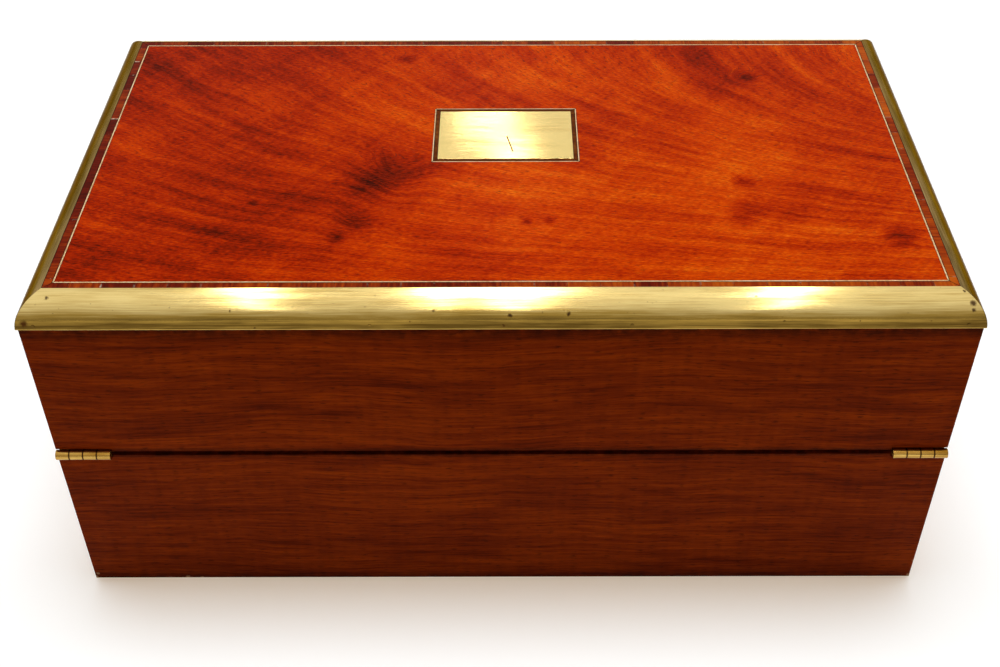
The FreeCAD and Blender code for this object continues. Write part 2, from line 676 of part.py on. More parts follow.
def leather_block(half, name):
    end = flap_end_v(half, flap_faces(half)[0])
    v = (f"{FLAP_HINGE} + flap_joint/2 + flap_border", f"{end} - flap_border")
    w = layer(half, HALF_GAP, f"{HALF_GAP} + leather")
    return block(name, both_sides(f"{INNER_X} - flap_play - flap_border"), v, w, True)


def flap_tab(half):
    """A leather tab glued to the border of a flap, for lifting it."""
    end = flap_end_v(half, flap_faces(half)[0])
    v = (f"{end} - tab_length", end)
    w = layer(half, f"{HALF_GAP} - tab_thickness", HALF_GAP)
    tab = block(half_name(half) + "_tab_block", both_sides("tab_width/2"), v, w, True)
    return keep(tab, half_name(half) + "_flap_tab")


def flap_ledges(half):
    """Strips on both ends, and in the base on the divider, that carry the flap and its rail."""
    name = half_name(half) + "_flap_ledges"
    near = flap_faces(half)[1]
    far = f"{half}*({HALF_GAP} + flap_thickness + ledge_height)"
    end_y = DIVIDER_Y if half == BASE else LOCK_INNER
    inner_x = f"({INNER_X} - ledge_width)"
    inner_v = f"({upright_v(end_y, near)} - ledge_width)"
    along = sloping_section(lambda w: upright_v(HINGE_INNER, w), lambda w: upright_v(end_y, w), near, far)
    across = sloping_section(lambda w: inner_v, lambda w: upright_v(end_y, w), near, far)
    strips = [board(f"{name}_{side_name(side)}", along, span(inner_x, INNER_X, side), True)
              for side in (LEFT, RIGHT)]
    strips.append(board(name + "_across", across, both_sides(inner_x), True))
    return keep(group(name + "_group", strips), name)


def butt_leaves(half, moving):
    """One kind of leaf of both flap hinges; the fixed leaf has the outer knuckles and the pin."""
    kind = "moving" if moving else "fixed"
    name = f"{half_name(half)}_flap_hinge_{kind}"
    leaves = [butt_leaf(f"{name}_{side_name(side)}", half, moving, f"({side}*butt_place - butt_length/2)")
              for side in (LEFT, RIGHT)]
    return keep(group(name + "_group", leaves), name + "_leaves")


def butt_leaf(name, half, moving, start):
    """A leaf let into the edge of its board, under the knuckles that it carries."""
    sign = 1 if moving else -1
    reach = "(butt_radius + barrel_room)"
    leaf_v = [f"{FLAP_HINGE} + ({bound})" for bound in span(f"{reach} - butt_leaf", reach, sign)]
    leaf_w = layer(half, f"{BUTT_W} + {reach}", f"{HALF_GAP} + flap_thickness - butt_leaf")
    tab_v = [f"{FLAP_HINGE} + ({bound})" for bound in span("butt_pin_radius", reach, sign)]
    tab_w = layer(half, BUTT_W, f"{BUTT_W} + {reach} + butt_leaf")
    pieces = [block(name + "_leaf", (start, f"{start} + butt_length"), leaf_v, leaf_w, True)]
    length = f"butt_length/{BUTT_KNUCKLES} - knuckle_play"
    first = 1 if moving else 0
    for number in range(first, BUTT_KNUCKLES, 2):
        low = f"{start} + butt_length*{number}/{BUTT_KNUCKLES} + knuckle_play/2"
        pieces.append(rod(f"{name}_knuckle_{number}", "X", butt_axis(low, half), length, "butt_radius", True))
        pieces.append(block(f"{name}_tab_{number}", (low, f"{low} + {length}"), tab_v, tab_w, True))
    solid = fuse(name + "_solid", pieces)
    pin_radius = "butt_pin_radius + pin_play" if moving else "butt_pin_radius"
    pin = rod(name + "_pin", "X", butt_axis(f"{start} + knuckle_play/2", half), "butt_length - knuckle_play",
              pin_radius, True)
    return cut(name + "_bored", solid, [pin]) if moving else fuse(name + "_pinned", [solid, pin])


def butt_axis(x, half):
    """A place on the axis of a flap's hinges."""
    return (x, FLAP_HINGE, f"({half}*{BUTT_W})")


def flap(half):
    flap_rail(half)
    flap_ledges(half)
    butt_leaves(half, moving=False)
    flap_panel(half)
    keep(leather_block(half, half_name(half) + "_leather_block"), half_name(half) + "_flap_leather")
    flap_tab(half)
    butt_leaves(half, moving=True)


# Pen compartment

def pen_compartment():
    divider = upright_section((DIVIDER_Y, PENS_Y), FLOOR, BASE)
    keep(board("pen_divider_board", divider, both_sides(INNER_X)), "pen_divider")
    section = upright_section((PENS_Y, LOCK_INNER), FLOOR, BASE)
    cells = [board(f"cell_divider_{side_name(side)}", section, span(f"{CELL_X} - cell_divider", CELL_X, side))
             for side in (LEFT, RIGHT)]
    keep(group("cell_dividers_group", cells), "inkwell_dividers")
    pen_tray()
    y, z = (PENS_Y, LOCK_INNER), (FLOOR, WELL_FLOOR)
    blocks = [block(f"well_block_{side_name(side)}", span(CELL_X, INNER_X, side), y, z)
              for side in (LEFT, RIGHT)]
    keep(group("well_blocks_group", blocks), "inkwell_blocks")


def pen_tray():
    """A block with one long round hollow, on two bearers."""
    top = f"({rim_z(PENS_Y, BASE)} - tray_drop)"
    under = f"({top} - tray_height)"
    divider = f"({CELL_X} - cell_divider)"
    end = f"({divider} - tray_play)"
    y = (f"{PENS_Y} + tray_play", f"{LOCK_INNER} - tray_play")
    solid = block("pen_tray_block", both_sides(end), y, (under, top))
    scoop_half = f"({end} - scoop_end)"
    scoop_start = (f"-{scoop_half}", WELL_Y, f"{top} - scoop_depth + scoop_radius")
    scoop = rod("pen_tray_scoop", "X", scoop_start, f"2*{scoop_half}", "scoop_radius")
    keep(cut("pen_tray_cut", solid, [scoop]), "pen_tray")
    z = (f"{under} - bearer_height", under)
    bearers = [block(f"tray_bearer_{side_name(side)}", span(f"{divider} - bearer_width", divider, side),
                     (PENS_Y, LOCK_INNER), z) for side in (LEFT, RIGHT)]
    keep(group("tray_bearers_group", bearers), "pen_tray_bearers")


# Inkwells

WELL_Y = f"(({PENS_Y} + {LOCK_INNER})/2)"
WELL_FLOOR = f"({rim_z(PENS_Y, BASE)} - well_headroom - cap_height - collar_height - well_height)"
SHOULDER = f"({WELL_FLOOR} + well_height)"
COLLAR_TOP = f"({SHOULDER} + collar_height)"
CAP_HINGE_Y = f"({WELL_Y} + cap_radius + cap_knuckle_radius)"


def well_x(side):
    return f"({side}*({INNER_X} + {CELL_X})/2)"


def inkwell(side):
    """A square glass bottle with cut corners, a round neck and a round hollow."""
    name = "inkwell_" + side_name(side)
    x = well_x(side)
    half, nip = "well_width/2", "well_width/2 - well_corner"
    body = doc.addObject("PartDesign::Body", name + "_glass")
    corners = [(f"{x} + ({a})", f"{WELL_Y} + ({b})") for a, b in (
        (f"-({half})", f"-({nip})"), (f"-({nip})", f"-({half})"), (nip, f"-({half})"), (half, f"-({nip})"),
        (half, nip), (nip, half), (f"-({nip})", half), (f"-({half})", nip))]
    plan = outline(body, name + "_plan", "XY_Plane", corners, offset=WELL_FLOOR)
    pad(body, name + "_pad", plan, "well_height")
    neck_start = (x, WELL_Y, f"{SHOULDER} - glass_shoulder")
    neck = rod(name + "_neck", "Z", neck_start, "glass_shoulder + neck_height", "neck_radius")
    inside = (x, WELL_Y, f"{WELL_FLOOR} + glass_floor")
    hollow_height = "well_height - glass_floor - glass_shoulder"
    mouth_height = "well_height - glass_floor + neck_height"
    hollow = rod(name + "_hollow", "Z", inside, hollow_height, "bore_radius")
    mouth = rod(name + "_mouth", "Z", inside, mouth_height, "mouth_radius")
    return keep(cut(name + "_cut", fuse(name + "_solid", [body, neck]), [hollow, mouth]), name)


def cap_knuckle(name, side, low):
    """One knuckle of a cap hinge, starting at a distance from the inkwell's middle."""
    start = (f"{well_x(side)} + ({low})", CAP_HINGE_Y, COLLAR_TOP)
    return rod(name, "X", start, "cap_knuckle_length", "cap_knuckle_radius")


def collar(side):
    """A brass ring on the glass neck with the two outer knuckles and the pin of the cap hinge."""
    name = "collar_" + side_name(side)
    x = well_x(side)
    ring = rod(name + "_ring", "Z", (x, WELL_Y, SHOULDER), "collar_height", "collar_radius")
    inside = rod(name + "_inside", "Z", (x, WELL_Y, SHOULDER), "collar_height", "neck_radius + collar_play")
    outer = "(3*cap_knuckle_length/2 + knuckle_play)"
    lug_y = (f"{WELL_Y} + neck_radius", CAP_HINGE_Y)
    lug_z = (f"{COLLAR_TOP} - cap_knuckle_radius", f"{COLLAR_TOP} - collar_play")
    pieces = []
    for number, low in enumerate((f"-{outer}", f"{outer} - cap_knuckle_length")):
        lug_x = (f"{x} + ({low})", f"{x} + ({low}) + cap_knuckle_length")
        pieces.append(cap_knuckle(f"{name}_knuckle_{number}", side, low))
        pieces.append(block(f"{name}_lug_{number}", lug_x, lug_y, lug_z))
    pin_start = (f"{x} - {outer}", CAP_HINGE_Y, COLLAR_TOP)
    pin = rod(name + "_pin", "X", pin_start, f"2*{outer}", "cap_pin_radius")
    ring_with_lugs = cut(name + "_bored", fuse(name + "_lugged", [ring] + pieces), [inside])
    return fuse(name, [ring_with_lugs, pin])


def cap(side):
    """A low brass dome that lies on the collar, with the middle knuckle."""
    name = "inkwell_cap_" + side_name(side)
    x = well_x(side)
    rim = rod(name + "_rim", "Z", (x, WELL_Y, COLLAR_TOP), "cap_rim_height", "cap_radius")
    dome = doc.addObject("Part::Cone", name + "_dome")
    locate(dome, x, WELL_Y, f"{COLLAR_TOP} + cap_rim_height", False)
    bind(dome, Radius1="cap_radius", Radius2="cap_top_radius", Height="cap_height - cap_rim_height")
    knuckle = cap_knuckle(name + "_knuckle", side, "-cap_knuckle_length/2")
    arm_x = (f"{x} - cap_knuckle_length/2", f"{x} + cap_knuckle_length/2")
    arm_z = (COLLAR_TOP, f"{COLLAR_TOP} + cap_knuckle_radius")
    arm = block(name + "_arm", arm_x, (f"{WELL_Y} + cap_top_radius", CAP_HINGE_Y), arm_z)
    tool_x = (f"{x} - cap_knuckle_length", f"{x} + cap_knuckle_length")
    bore_start = (tool_x[0], CAP_HINGE_Y, COLLAR_TOP)
    bore = rod(name + "_bore", "X", bore_start, "2*cap_knuckle_length", "cap_pin_radius + pin_play")
    under_y = (WELL_Y, f"{WELL_Y} + collar_radius + collar_play")
    under = block(name + "_under", tool_x, under_y, (f"{COLLAR_TOP} - cap_knuckle_radius", COLLAR_TOP))
    return keep(cut(name + "_cut", fuse(name + "_solid", [rim, dome, knuckle, arm]), [bore, under]), name)


# The lid's top: board, veneers, stringing, plaque and brass edges

def frame_strip(name, outer, inner, centre=("0", "0")):
    """A flat rectangular ring of veneer thickness between two half-sizes."""
    z = (f"{TOP_SURFACE} - veneer", TOP_SURFACE)
    boxes = [block(f"{name}_{kind}", (f"{centre[0]} - ({half[0]})", f"{centre[0]} + ({half[0]})"),
                   (f"{centre[1]} - ({half[1]})", f"{centre[1]} + ({half[1]})"), z)
             for kind, half in (("outer", outer), ("inner", inner))]
    return cut(name + "_ring", boxes[0], boxes[1:])


def inset(amount):
    """Half-sizes of a rectangle that lies an amount inside the wooden faces."""
    return (f"(box_width/2 - ({amount}))", f"(box_depth/2 - ({amount}))")


def round_plaque(amount):
    """Half-sizes of a rectangle an amount outside the plaque."""
    return (f"(plaque_length/2 + {amount})", f"(plaque_breadth/2 + {amount})")


def top_board(pins):
    """A slab under the brass edges with a raised field between them."""
    body = doc.addObject("PartDesign::Body", "top_board_body")
    step = "box_height - edge_cover"
    for name, amount, low, high in (("slab", "edge_leg", LID_WALL_TOP, step),
                                    ("field", "edge_top_width", step, f"{TOP_SURFACE} - veneer")):
        x, y = inset(amount)
        corners = [(f"-{x}", f"-{y}"), (x, f"-{y}"), (x, y), (f"-{x}", y)]
        sketch = outline(body, f"top_board_{name}_plan", "XY_Plane", corners, offset=low)
        pad(body, f"top_board_{name}", sketch, f"({high}) - ({low})")
    return keep(cut("top_board_cut", body, pins), "lid_top_board")


def top_surface():
    centre = ("plaque_shift_x", "plaque_shift_y")
    cross_inner = "edge_top_width + crossband_width"
    string_inner = f"{cross_inner} + stringing_width"
    keep(frame_strip("crossband", inset("edge_top_width"), inset(cross_inner)), "top_crossband")
    keep(frame_strip("stringing", inset(cross_inner), inset(string_inner)), "top_stringing")
    x, y = inset(string_inner)
    z = (f"{TOP_SURFACE} - veneer", TOP_SURFACE)
    panel = block("veneer_panel", both_sides(x), both_sides(y), z)
    frame = round_plaque("plaque_band + plaque_string")
    hole = block("veneer_hole", (f"{centre[0]} - {frame[0]}", f"{centre[0]} + {frame[0]}"),
                 (f"{centre[1]} - {frame[1]}", f"{centre[1]} + {frame[1]}"), z)
    keep(cut("veneer_cut", panel, [hole]), "top_veneer")
    keep(frame_strip("plaque_line", frame, round_plaque("plaque_band"), centre), "plaque_stringing")
    keep(frame_strip("plaque_dark", round_plaque("plaque_band"), round_plaque("0"), centre), "plaque_band")
    plate = round_plaque("0")
    keep(block("plaque_plate", (f"{centre[0]} - {plate[0]}", f"{centre[0]} + {plate[0]}"),
               (f"{centre[1]} - {plate[1]}", f"{centre[1]} + {plate[1]}"), z), "centre_plaque")


def moulding_section(body, name):
    """The rounded outside and the stepped inside of a brass edge; y is 0 at the wooden face."""
    sketch = body.newObject("Sketcher::SketchObject", name)
    sketch.AttachmentSupport = [(plane_of(body, "YZ_Plane"), "")]
    sketch.MapMode = "FlatFace"
    formulas = [("-edge_proud", "-edge_side_height"), ("edge_top_width", "0"),
                ("edge_top_width", "-edge_cover"), ("edge_leg", "-edge_cover"),
                ("edge_leg", "-edge_side_height")]
    radius = SIZE["edge_round"]
    lip = FreeCAD.Vector(-SIZE["edge_proud"], -SIZE["edge_side_height"], 0)
    brow = FreeCAD.Vector(SIZE["edge_top_width"], 0, 0)
    cover, leg = -SIZE["edge_cover"], SIZE["edge_leg"]
    points = [lip, brow, FreeCAD.Vector(brow.x, cover, 0), FreeCAD.Vector(leg, cover, 0),
              FreeCAD.Vector(leg, lip.y, 0)]
    chord = brow - lip
    inward = FreeCAD.Vector(chord.y, -chord.x, 0).normalize()
    round_centre = (lip + brow)/2 + inward*math.sqrt(radius**2 - (chord.Length/2)**2)
    circle = Part.Circle(round_centre, FreeCAD.Vector(0, 0, 1), radius)
    to_brow, to_lip = brow - round_centre, lip - round_centre
    angles = (math.atan2(to_brow.y, to_brow.x), math.atan2(to_lip.y, to_lip.x))
    sketch.addGeometry(Part.ArcOfCircle(circle, *angles), False)
    last = len(points) - 1
    for first in range(1, len(points)):
        sketch.addGeometry(Part.LineSegment(points[first], points[(first + 1) % len(points)]), False)
    joints = [(0, 1, 1, 1)] + [(line, 2, line + 1, 1) for line in range(1, last)]
    for joint in joints + [(last, 2, 0, 2)]:
        sketch.addConstraint(Sketcher.Constraint("Coincident", *joint))
    ends = [(0, 2), (0, 1)] + [(line, 1) for line in range(2, len(points))]
    for number, ((line, end), point, formula) in enumerate(zip(ends, points, formulas)):
        pin_point(sketch, f"corner{number}", line, end, point, formula)
    radius_constraint = sketch.addConstraint(Sketcher.Constraint("Radius", 0, radius))
    sketch.renameConstraint(radius_constraint, "round")
    sketch.setExpression("Constraints.round", with_sheet("edge_round"))
    return sketch


def moulding(name, run, pin_places, turn, place):
    """A brass edge along a wooden face of length run, mitred at both ends and bored for its pins."""
    body = doc.addObject("PartDesign::Body", name + "_body")
    section = moulding_section(body, name + "_section")
    pad(body, name + "_pad", section, f"{run} + 2*edge_proud", both_ways=True)
    inner_y = f"edge_top_width + {BEYOND}"
    for side in (LEFT, RIGHT):
        outer = f"{side}*({run}/2 + edge_proud + {BEYOND})"
        inner = f"{side}*({run}/2 - ({inner_y}))"
        corners = [(outer, f"-edge_proud - {BEYOND}"), (inner, inner_y), (outer, inner_y)]
        plan = outline(body, f"{name}_mitre_plan_{side_name(side)}", "XY_Plane", corners, offset=BEYOND)
        pocket = body.newObject("PartDesign::Pocket", f"{name}_mitre_{side_name(side)}")
        pocket.Profile = plan
        pocket.Type = "ThroughAll"
    bores = [edge_pin(f"{name}_bore_{number}", "X", x, "0", "0") for number, x in enumerate(pin_places)]
    whole = cut(name + "_cut", body, bores)
    whole.Placement.Rotation = FreeCAD.Rotation(FreeCAD.Vector(0, 0, 1), turn)
    locate(whole, place[0], place[1], "box_height", False)
    return keep(whole, name)


def edge_pin(name, along, x, y, z):
    """A pin of a moulding that runs along X or Y: x, y, z is the pin's place on the wooden face."""
    length, radius = "edge_pin_length", "edge_pin_radius"
    if along == "X":
        return rod(name, "Y", (x, f"({y}) - edge_proud", f"({z}) - edge_pin_drop"), length, radius)
    return rod(name, "X", (x, y, f"({z}) - edge_pin_drop"), length, radius)


def long_pins():
    """Places along the long mouldings."""
    end = "(box_width/2 - long_pin_inset)"
    return [f"-{end}", "-long_pin_spacing/2", "long_pin_spacing/2", end]


def short_pins():
    end = "(box_depth/2 - short_pin_inset)"
    return [f"-{end}", end]


def moulding_pins():
    """The pins of all four mouldings, flush with the brass."""
    pins = []
    lock_y = "box_depth/2 + 2*edge_proud - edge_pin_length"
    right_x = "box_width/2 + edge_proud - edge_pin_length"
    for number, x in enumerate(long_pins()):
        pins.append(edge_pin(f"hinge_side_pin_{number}", "X", x, "-box_depth/2", "box_height"))
        pins.append(edge_pin(f"lock_side_pin_{number}", "X", x, lock_y, "box_height"))
    for number, y in enumerate(short_pins()):
        pins.append(edge_pin(f"left_pin_{number}", "Y", "-box_width/2 - edge_proud", y, "box_height"))
        pins.append(edge_pin(f"right_pin_{number}", "Y", right_x, y, "box_height"))
    return pins


def brass_edges():
    moulding("brass_edge_hinge_side", "box_width", long_pins(), 0, ("0", "-box_depth/2"))
    moulding("brass_edge_lock_side", "box_width", long_pins(), 180, ("0", "box_depth/2"))
    moulding("brass_edge_left", "box_depth", short_pins(), -90, ("-box_width/2", "0"))
    moulding("brass_edge_right", "box_depth", short_pins(), 90, ("box_width/2", "0"))


def build_base():
    screws = hinge_screws(BASE)
    plate_screws = [plate_screw(f"lock_screw_{number}", x, z)
                    for number, (x, z) in enumerate(plate_screw_places())]
    walls(BASE, hinge_cuts(BASE) + screws, lock_cuts() + plate_screws)
    x, y = both_sides(INNER_X), (HINGE_INNER, LOCK_INNER)
    keep(block("bottom_block", x, y, ("baize", FLOOR)), "base_bottom")
    keep(block("baize_sheet", x, y, ("0", "baize")), "base_baize")
    for side in (LEFT, RIGHT):
        hinge_leaf(BASE, side, screws)
    hinge_pins()
    lock_case()
    lock_plate(plate_screws)
    escutcheon()
    keep(group("base_screws_group", screws + plate_screws), "base_screws")
    flap(BASE)
    pen_compartment()
    for side in (LEFT, RIGHT):
        inkwell(side)
        cap(side)
    keep(group("collars_group", [collar(side) for side in (LEFT, RIGHT)]), "inkwell_collars")
    lock_bolt()
    key()


def build_lid():
    screws = hinge_screws(LID)
    plate_screws = link_plate_screws()
    pins = moulding_pins()
    plate_recess = link_plate_block("link_plate_recess", "0")
    walls(LID, hinge_cuts(LID) + screws, [plate_recess] + plate_screws)
    for side in (LEFT, RIGHT):
        hinge_leaf(LID, side, screws)
    keep(group("lid_screws_group", screws + plate_screws), "lid_screws")
    link_plate(plate_screws)
    top_board(pins)
    keep(group("edge_pins_group", pins), "brass_edge_pins")
    top_surface()
    brass_edges()
    flap(LID)


def check_and_write():
    """Stop on any failed object or bad shape, then write each sub-part."""
    doc.recompute()
    failed = [thing.Name for thing in doc.Objects if {"Invalid", "Error"} & set(thing.State)]
    if failed:
        raise RuntimeError("failed objects: " + ", ".join(failed))
    for thing in sub_parts:
        shape = thing.Shape
        if shape.isNull() or not shape.isValid() or not shape.Solids or shape.Volume <= 0:
            raise RuntimeError("bad shape: " + thing.Label)
    os.makedirs("parts", exist_ok=True)
    for thing in sub_parts:
        thing.Shape.exportStep(f"parts/{thing.Label}.step")
        print(f"{thing.Label}: {len(thing.Shape.Solids)} solids, {thing.Shape.Volume:.1f} mm3")
    print(len(sub_parts), "sub-parts")


make_sheet()
build_base()
build_lid()
check_and_write()
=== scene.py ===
from functools import partial
import json
import math

import bpy
from mathutils import Matrix, Vector


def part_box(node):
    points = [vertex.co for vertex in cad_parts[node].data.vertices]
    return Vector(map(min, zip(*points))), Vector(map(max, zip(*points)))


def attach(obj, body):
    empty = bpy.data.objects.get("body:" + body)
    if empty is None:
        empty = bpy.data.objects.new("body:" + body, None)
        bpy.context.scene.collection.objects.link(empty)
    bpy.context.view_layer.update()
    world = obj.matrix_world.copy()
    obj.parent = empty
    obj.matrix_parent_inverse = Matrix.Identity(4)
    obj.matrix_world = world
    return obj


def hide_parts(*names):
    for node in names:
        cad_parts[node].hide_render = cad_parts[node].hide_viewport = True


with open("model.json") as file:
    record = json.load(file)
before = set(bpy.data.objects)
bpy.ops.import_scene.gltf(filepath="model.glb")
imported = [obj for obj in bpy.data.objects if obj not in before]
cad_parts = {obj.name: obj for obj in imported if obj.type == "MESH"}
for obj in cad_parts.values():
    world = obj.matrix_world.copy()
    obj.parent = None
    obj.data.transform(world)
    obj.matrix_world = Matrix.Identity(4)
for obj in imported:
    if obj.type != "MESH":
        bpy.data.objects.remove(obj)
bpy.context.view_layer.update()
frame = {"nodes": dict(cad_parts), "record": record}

# A brass-edged writing slope, closed, seen from its hinge side and from above.
# Lengths are in metres; a pattern's lengths are in millimetres, on coordinates turned to millimetres.

MM = 0.001
SLOPE = math.radians(8)

# Sizes shared with the solids, in metres
HALF_WIDTH, HALF_DEPTH, HEIGHT = 203*MM, 115*MM, 178*MM
WALL = 10*MM
AXIS_Y, AXIS_Z = -HALF_DEPTH - 0.8*MM, HEIGHT/2
RIM = 1.2*MM
PROUD = 0.9*MM
MOULDING_ROUND = 14.8*MM
MOULDING_TOP, MOULDING_SIDE = 10.3*MM, 13.9*MM
MOULDING_LEG, MOULDING_COVER = 5*MM, 4.5*MM
# Middle of the moulding's round on the hinge side
ROUND_Y, ROUND_Z = -HALF_DEPTH + 13.893*MM, HEIGHT - 14.358*MM
TOP, VENEER = HEIGHT - 0.3*MM, 1*MM
CROSSBAND, STRING = 3.6*MM, 0.9*MM
PLAQUE_HALF, PLAQUE_CENTRE = (32.25*MM, 21*MM), (2*MM, 13*MM)
PLAQUE_BAND, PLAQUE_STRING = 2*MM, 0.8*MM
# Distance of the split from the origin, along its normal
SPLIT_OFFSET = AXIS_Z*math.cos(SLOPE) - AXIS_Y*math.sin(SLOPE)

BODY_OF = {node: body for body, nodes in frame["record"]["behaviour"]["bodies"].items() for node in nodes}


# Camera, fitted to the outlines of the photograph's box

def make_camera():
    data = bpy.data.cameras.new("camera")
    data.sensor_fit = "HORIZONTAL"
    data.sensor_width = 36
    data.lens = 48.446
    data.shift_x = -0.00812
    data.clip_start = 0.01
    camera = bpy.data.objects.new("camera", data)
    bpy.context.collection.objects.link(camera)
    tilt = Matrix.Rotation(math.radians(90 - 41.006), 4, "X")
    roll = Matrix.Rotation(math.radians(-0.1207), 4, "Z")
    camera.matrix_world = Matrix.Translation((0.00302, -0.54290, 0.53311)) @ tilt @ roll
    bpy.context.scene.camera = camera


make_camera()
bpy.context.scene.view_settings.view_transform = "Standard"


# Materials

def paint(code):
    """A hex colour as linear light."""
    parts = [int(code[i:i + 2], 16)/255 for i in (1, 3, 5)]
    return tuple(c/12.92 if c <= 0.04045 else ((c + 0.055)/1.055)**2.4 for c in parts) + (1.0,)


def add_node(tree, kind, *values, named=None, stops=None, **settings):
    """Add a node with its settings and links and return its first live output.

    values go to its live inputs in their order and named to inputs by name; an output among them is linked.
    """
    made = tree.nodes.new("ShaderNode" + kind)
    for name, value in settings.items():
        setattr(made, name, value)
    live = [socket for socket in made.inputs if socket.enabled]
    by_name = [(next(socket for socket in live if socket.name == name), value)
               for name, value in (named or {}).items()]
    for socket, value in list(zip(live, values)) + by_name:
        if isinstance(value, bpy.types.NodeSocket):
            tree.links.new(value, socket)
        else:
            socket.default_value = value
    if stops:
        ramp = made.color_ramp
        while len(ramp.elements) < len(stops):
            ramp.elements.new(0.5)
        for element, (place, colour) in zip(ramp.elements, stops):
            element.position = place
            element.color = paint(colour)
    return next((output for output in made.outputs if output.enabled), None)


def new_material(name):
    """A material with no nodes, and the function that adds nodes to it."""
    material = bpy.data.materials.new(name)
    material.use_nodes = True
    material.node_tree.nodes.clear()
    return material, partial(add_node, material.node_tree)


def millimetres(add):
    """Object coordinates in millimetres."""
    place = add("TexCoord").node.outputs["Object"]
    return add("VectorMath", place, (1000, 1000, 1000), operation="MULTIPLY")


def inverse(sizes):
    """What a pattern's coordinates are multiplied by for its sizes."""
    return tuple(1/size for size in sizes)


def warped(add, place, size, reach):
    """Coordinates pushed about by noise of a size, as far as reach."""
    push = add("TexNoise", place, 1/size).node.outputs["Color"]
    centred = add("VectorMath", push, (0.5, 0.5, 0.5), operation="SUBTRACT")
    return add("VectorMath", centred, (reach,)*3, place, operation="MULTIPLY_ADD")


# French-polished wood

def grain(add, across, along, look):
    """How light cut wood is, and its pores, from coordinates across and along its grain in millimetres."""
    line = add("CombineXYZ", across, along)
    value = look["level"]
    for size, run, detail, weight in look["layers"]:
        scaled = add("VectorMath", line, inverse((size, size*run, 1)), operation="MULTIPLY")
        layer = add("TexNoise", scaled, 1.0, detail, 0.6)
        value = add("Math", layer, weight, value, operation="MULTIPLY_ADD")
        value = add("Math", value, 0.5*weight, operation="SUBTRACT")
    size, run, start = look["pores"]
    scaled = add("VectorMath", line, inverse((size, size*run, 1)), operation="MULTIPLY")
    pores = add("TexNoise", scaled, 1.0, 1, 0.4)
    return value, add("MapRange", pores, start, start + 0.07, 0.0, 1.0, interpolation_type="SMOOTHSTEP")


# Layers of grain: size across in millimetres, how many times longer along, detail and weight.
# Real pores are 0.1 mm wide and 1 mm long; they are drawn four times as coarse so that they show.
SIDE_LOOK = dict(level=0.5, layers=[(17, 7, 3, 0.6), (4.2, 16, 3, 0.55), (1.0, 30, 2, 0.75), (46, 0.15, 2, 0.15)],
                 pores=(0.42, 13, 0.6))
INNER_LOOK = dict(level=0.5, layers=[(16, 6, 3, 0.4), (4.5, 14, 3, 0.4), (1.1, 22, 2, 0.4)], pores=(0.4, 12, 0.6))
CROSS_LOOK = dict(level=0.5, layers=[(5, 4, 3, 0.6), (1.2, 10, 2, 0.8)], pores=(0.35, 6, 0.62))
TOP_LOOK = dict(level=0.5, layers=[(15, 6, 3, 0.7), (4.6, 22, 2, 0.5), (0.9, 12, 2, 0.3), (46, 0.15, 2, 0.25)],
                pores=(0.42, 8, 0.6))


def polish(add, colour, dashes, roughness, gloss):
    """Shellac over wood: the pores are dark, duller and a little sunk."""
    flat = add("Math", 1.0, dashes, operation="SUBTRACT")
    return add("BsdfPrincipled", named={
        "Base Color": colour, "Specular IOR Level": gloss, "Specular Tint": paint("#ff9a4a"),
        "Roughness": add("MapRange", dashes, 0.0, 1.0, roughness, roughness + 0.15),
        "Normal": add("Bump", named={"Height": flat, "Distance": 0.04*MM, "Strength": 0.35})})


def grime(add, place, colour, shade_and_dirt):
    """Painted shade, with wax and grime, under the brass lip, along the split and at the foot: there the colour is
    darkened towards a given dark colour.
    """
    parts = add("SeparateXYZ", place).node.outputs
    noise = add("TexNoise", place, 1/6, 3, 0.65)
    away = add("VectorMath", place, (0, -math.sin(SLOPE), math.cos(SLOPE)), operation="DOT_PRODUCT")
    away = add("Math", away, SPLIT_OFFSET/MM, operation="SUBTRACT")
    away = add("Math", away, operation="ABSOLUTE")
    # Painted shade, with wax and grime: darker under the brass lip, along the split and at the foot
    lip = add("MapRange", parts["Z"], 154.0, 164.0, 0.0, 1.0, interpolation_type="SMOOTHSTEP")
    split = add("MapRange", away, 0.8, 4.0, 1.0, 0.0, interpolation_type="SMOOTHSTEP")
    foot = add("MapRange", parts["Z"], 0.0, 6.0, 0.8, 0.0, interpolation_type="SMOOTHSTEP")
    near = add("Math", add("Math", lip, split, operation="MAXIMUM"), foot, operation="MAXIMUM")
    near = add("Math", near, add("MapRange", noise, 0.3, 0.6, 0.35, 1.0), operation="MULTIPLY")
    return add("Mix", add("Math", near, 0.8, operation="MULTIPLY"), colour, paint(shade_and_dirt), data_type="RGBA")


# Small chips where bare wood shows: x, y, z, radius in millimetres
CHIPS = [(-203, -115, 0.6, 1.5), (-201.5, -115, 3.2, 1.0), (203, -115, 0.8, 1.8), (-157, -115, 0.6, 1.3),
         (-150, -115, 0.2, 1.0), (203, -115, 12, 0.9)]


def chipped(add, place, colour):
    """The colour of the wood, lighter where it is chipped at the foot."""
    ragged = warped(add, place, 1.2, 1.6)
    for x, y, z, radius in CHIPS:
        gap = add("VectorMath", ragged, (x, y, z), operation="DISTANCE")
        chip = add("MapRange", gap, 0.5*radius, float(radius), 0.75, 0.0)
        colour = add("Mix", chip, colour, paint("#b98a5c"), data_type="RGBA")
    return colour


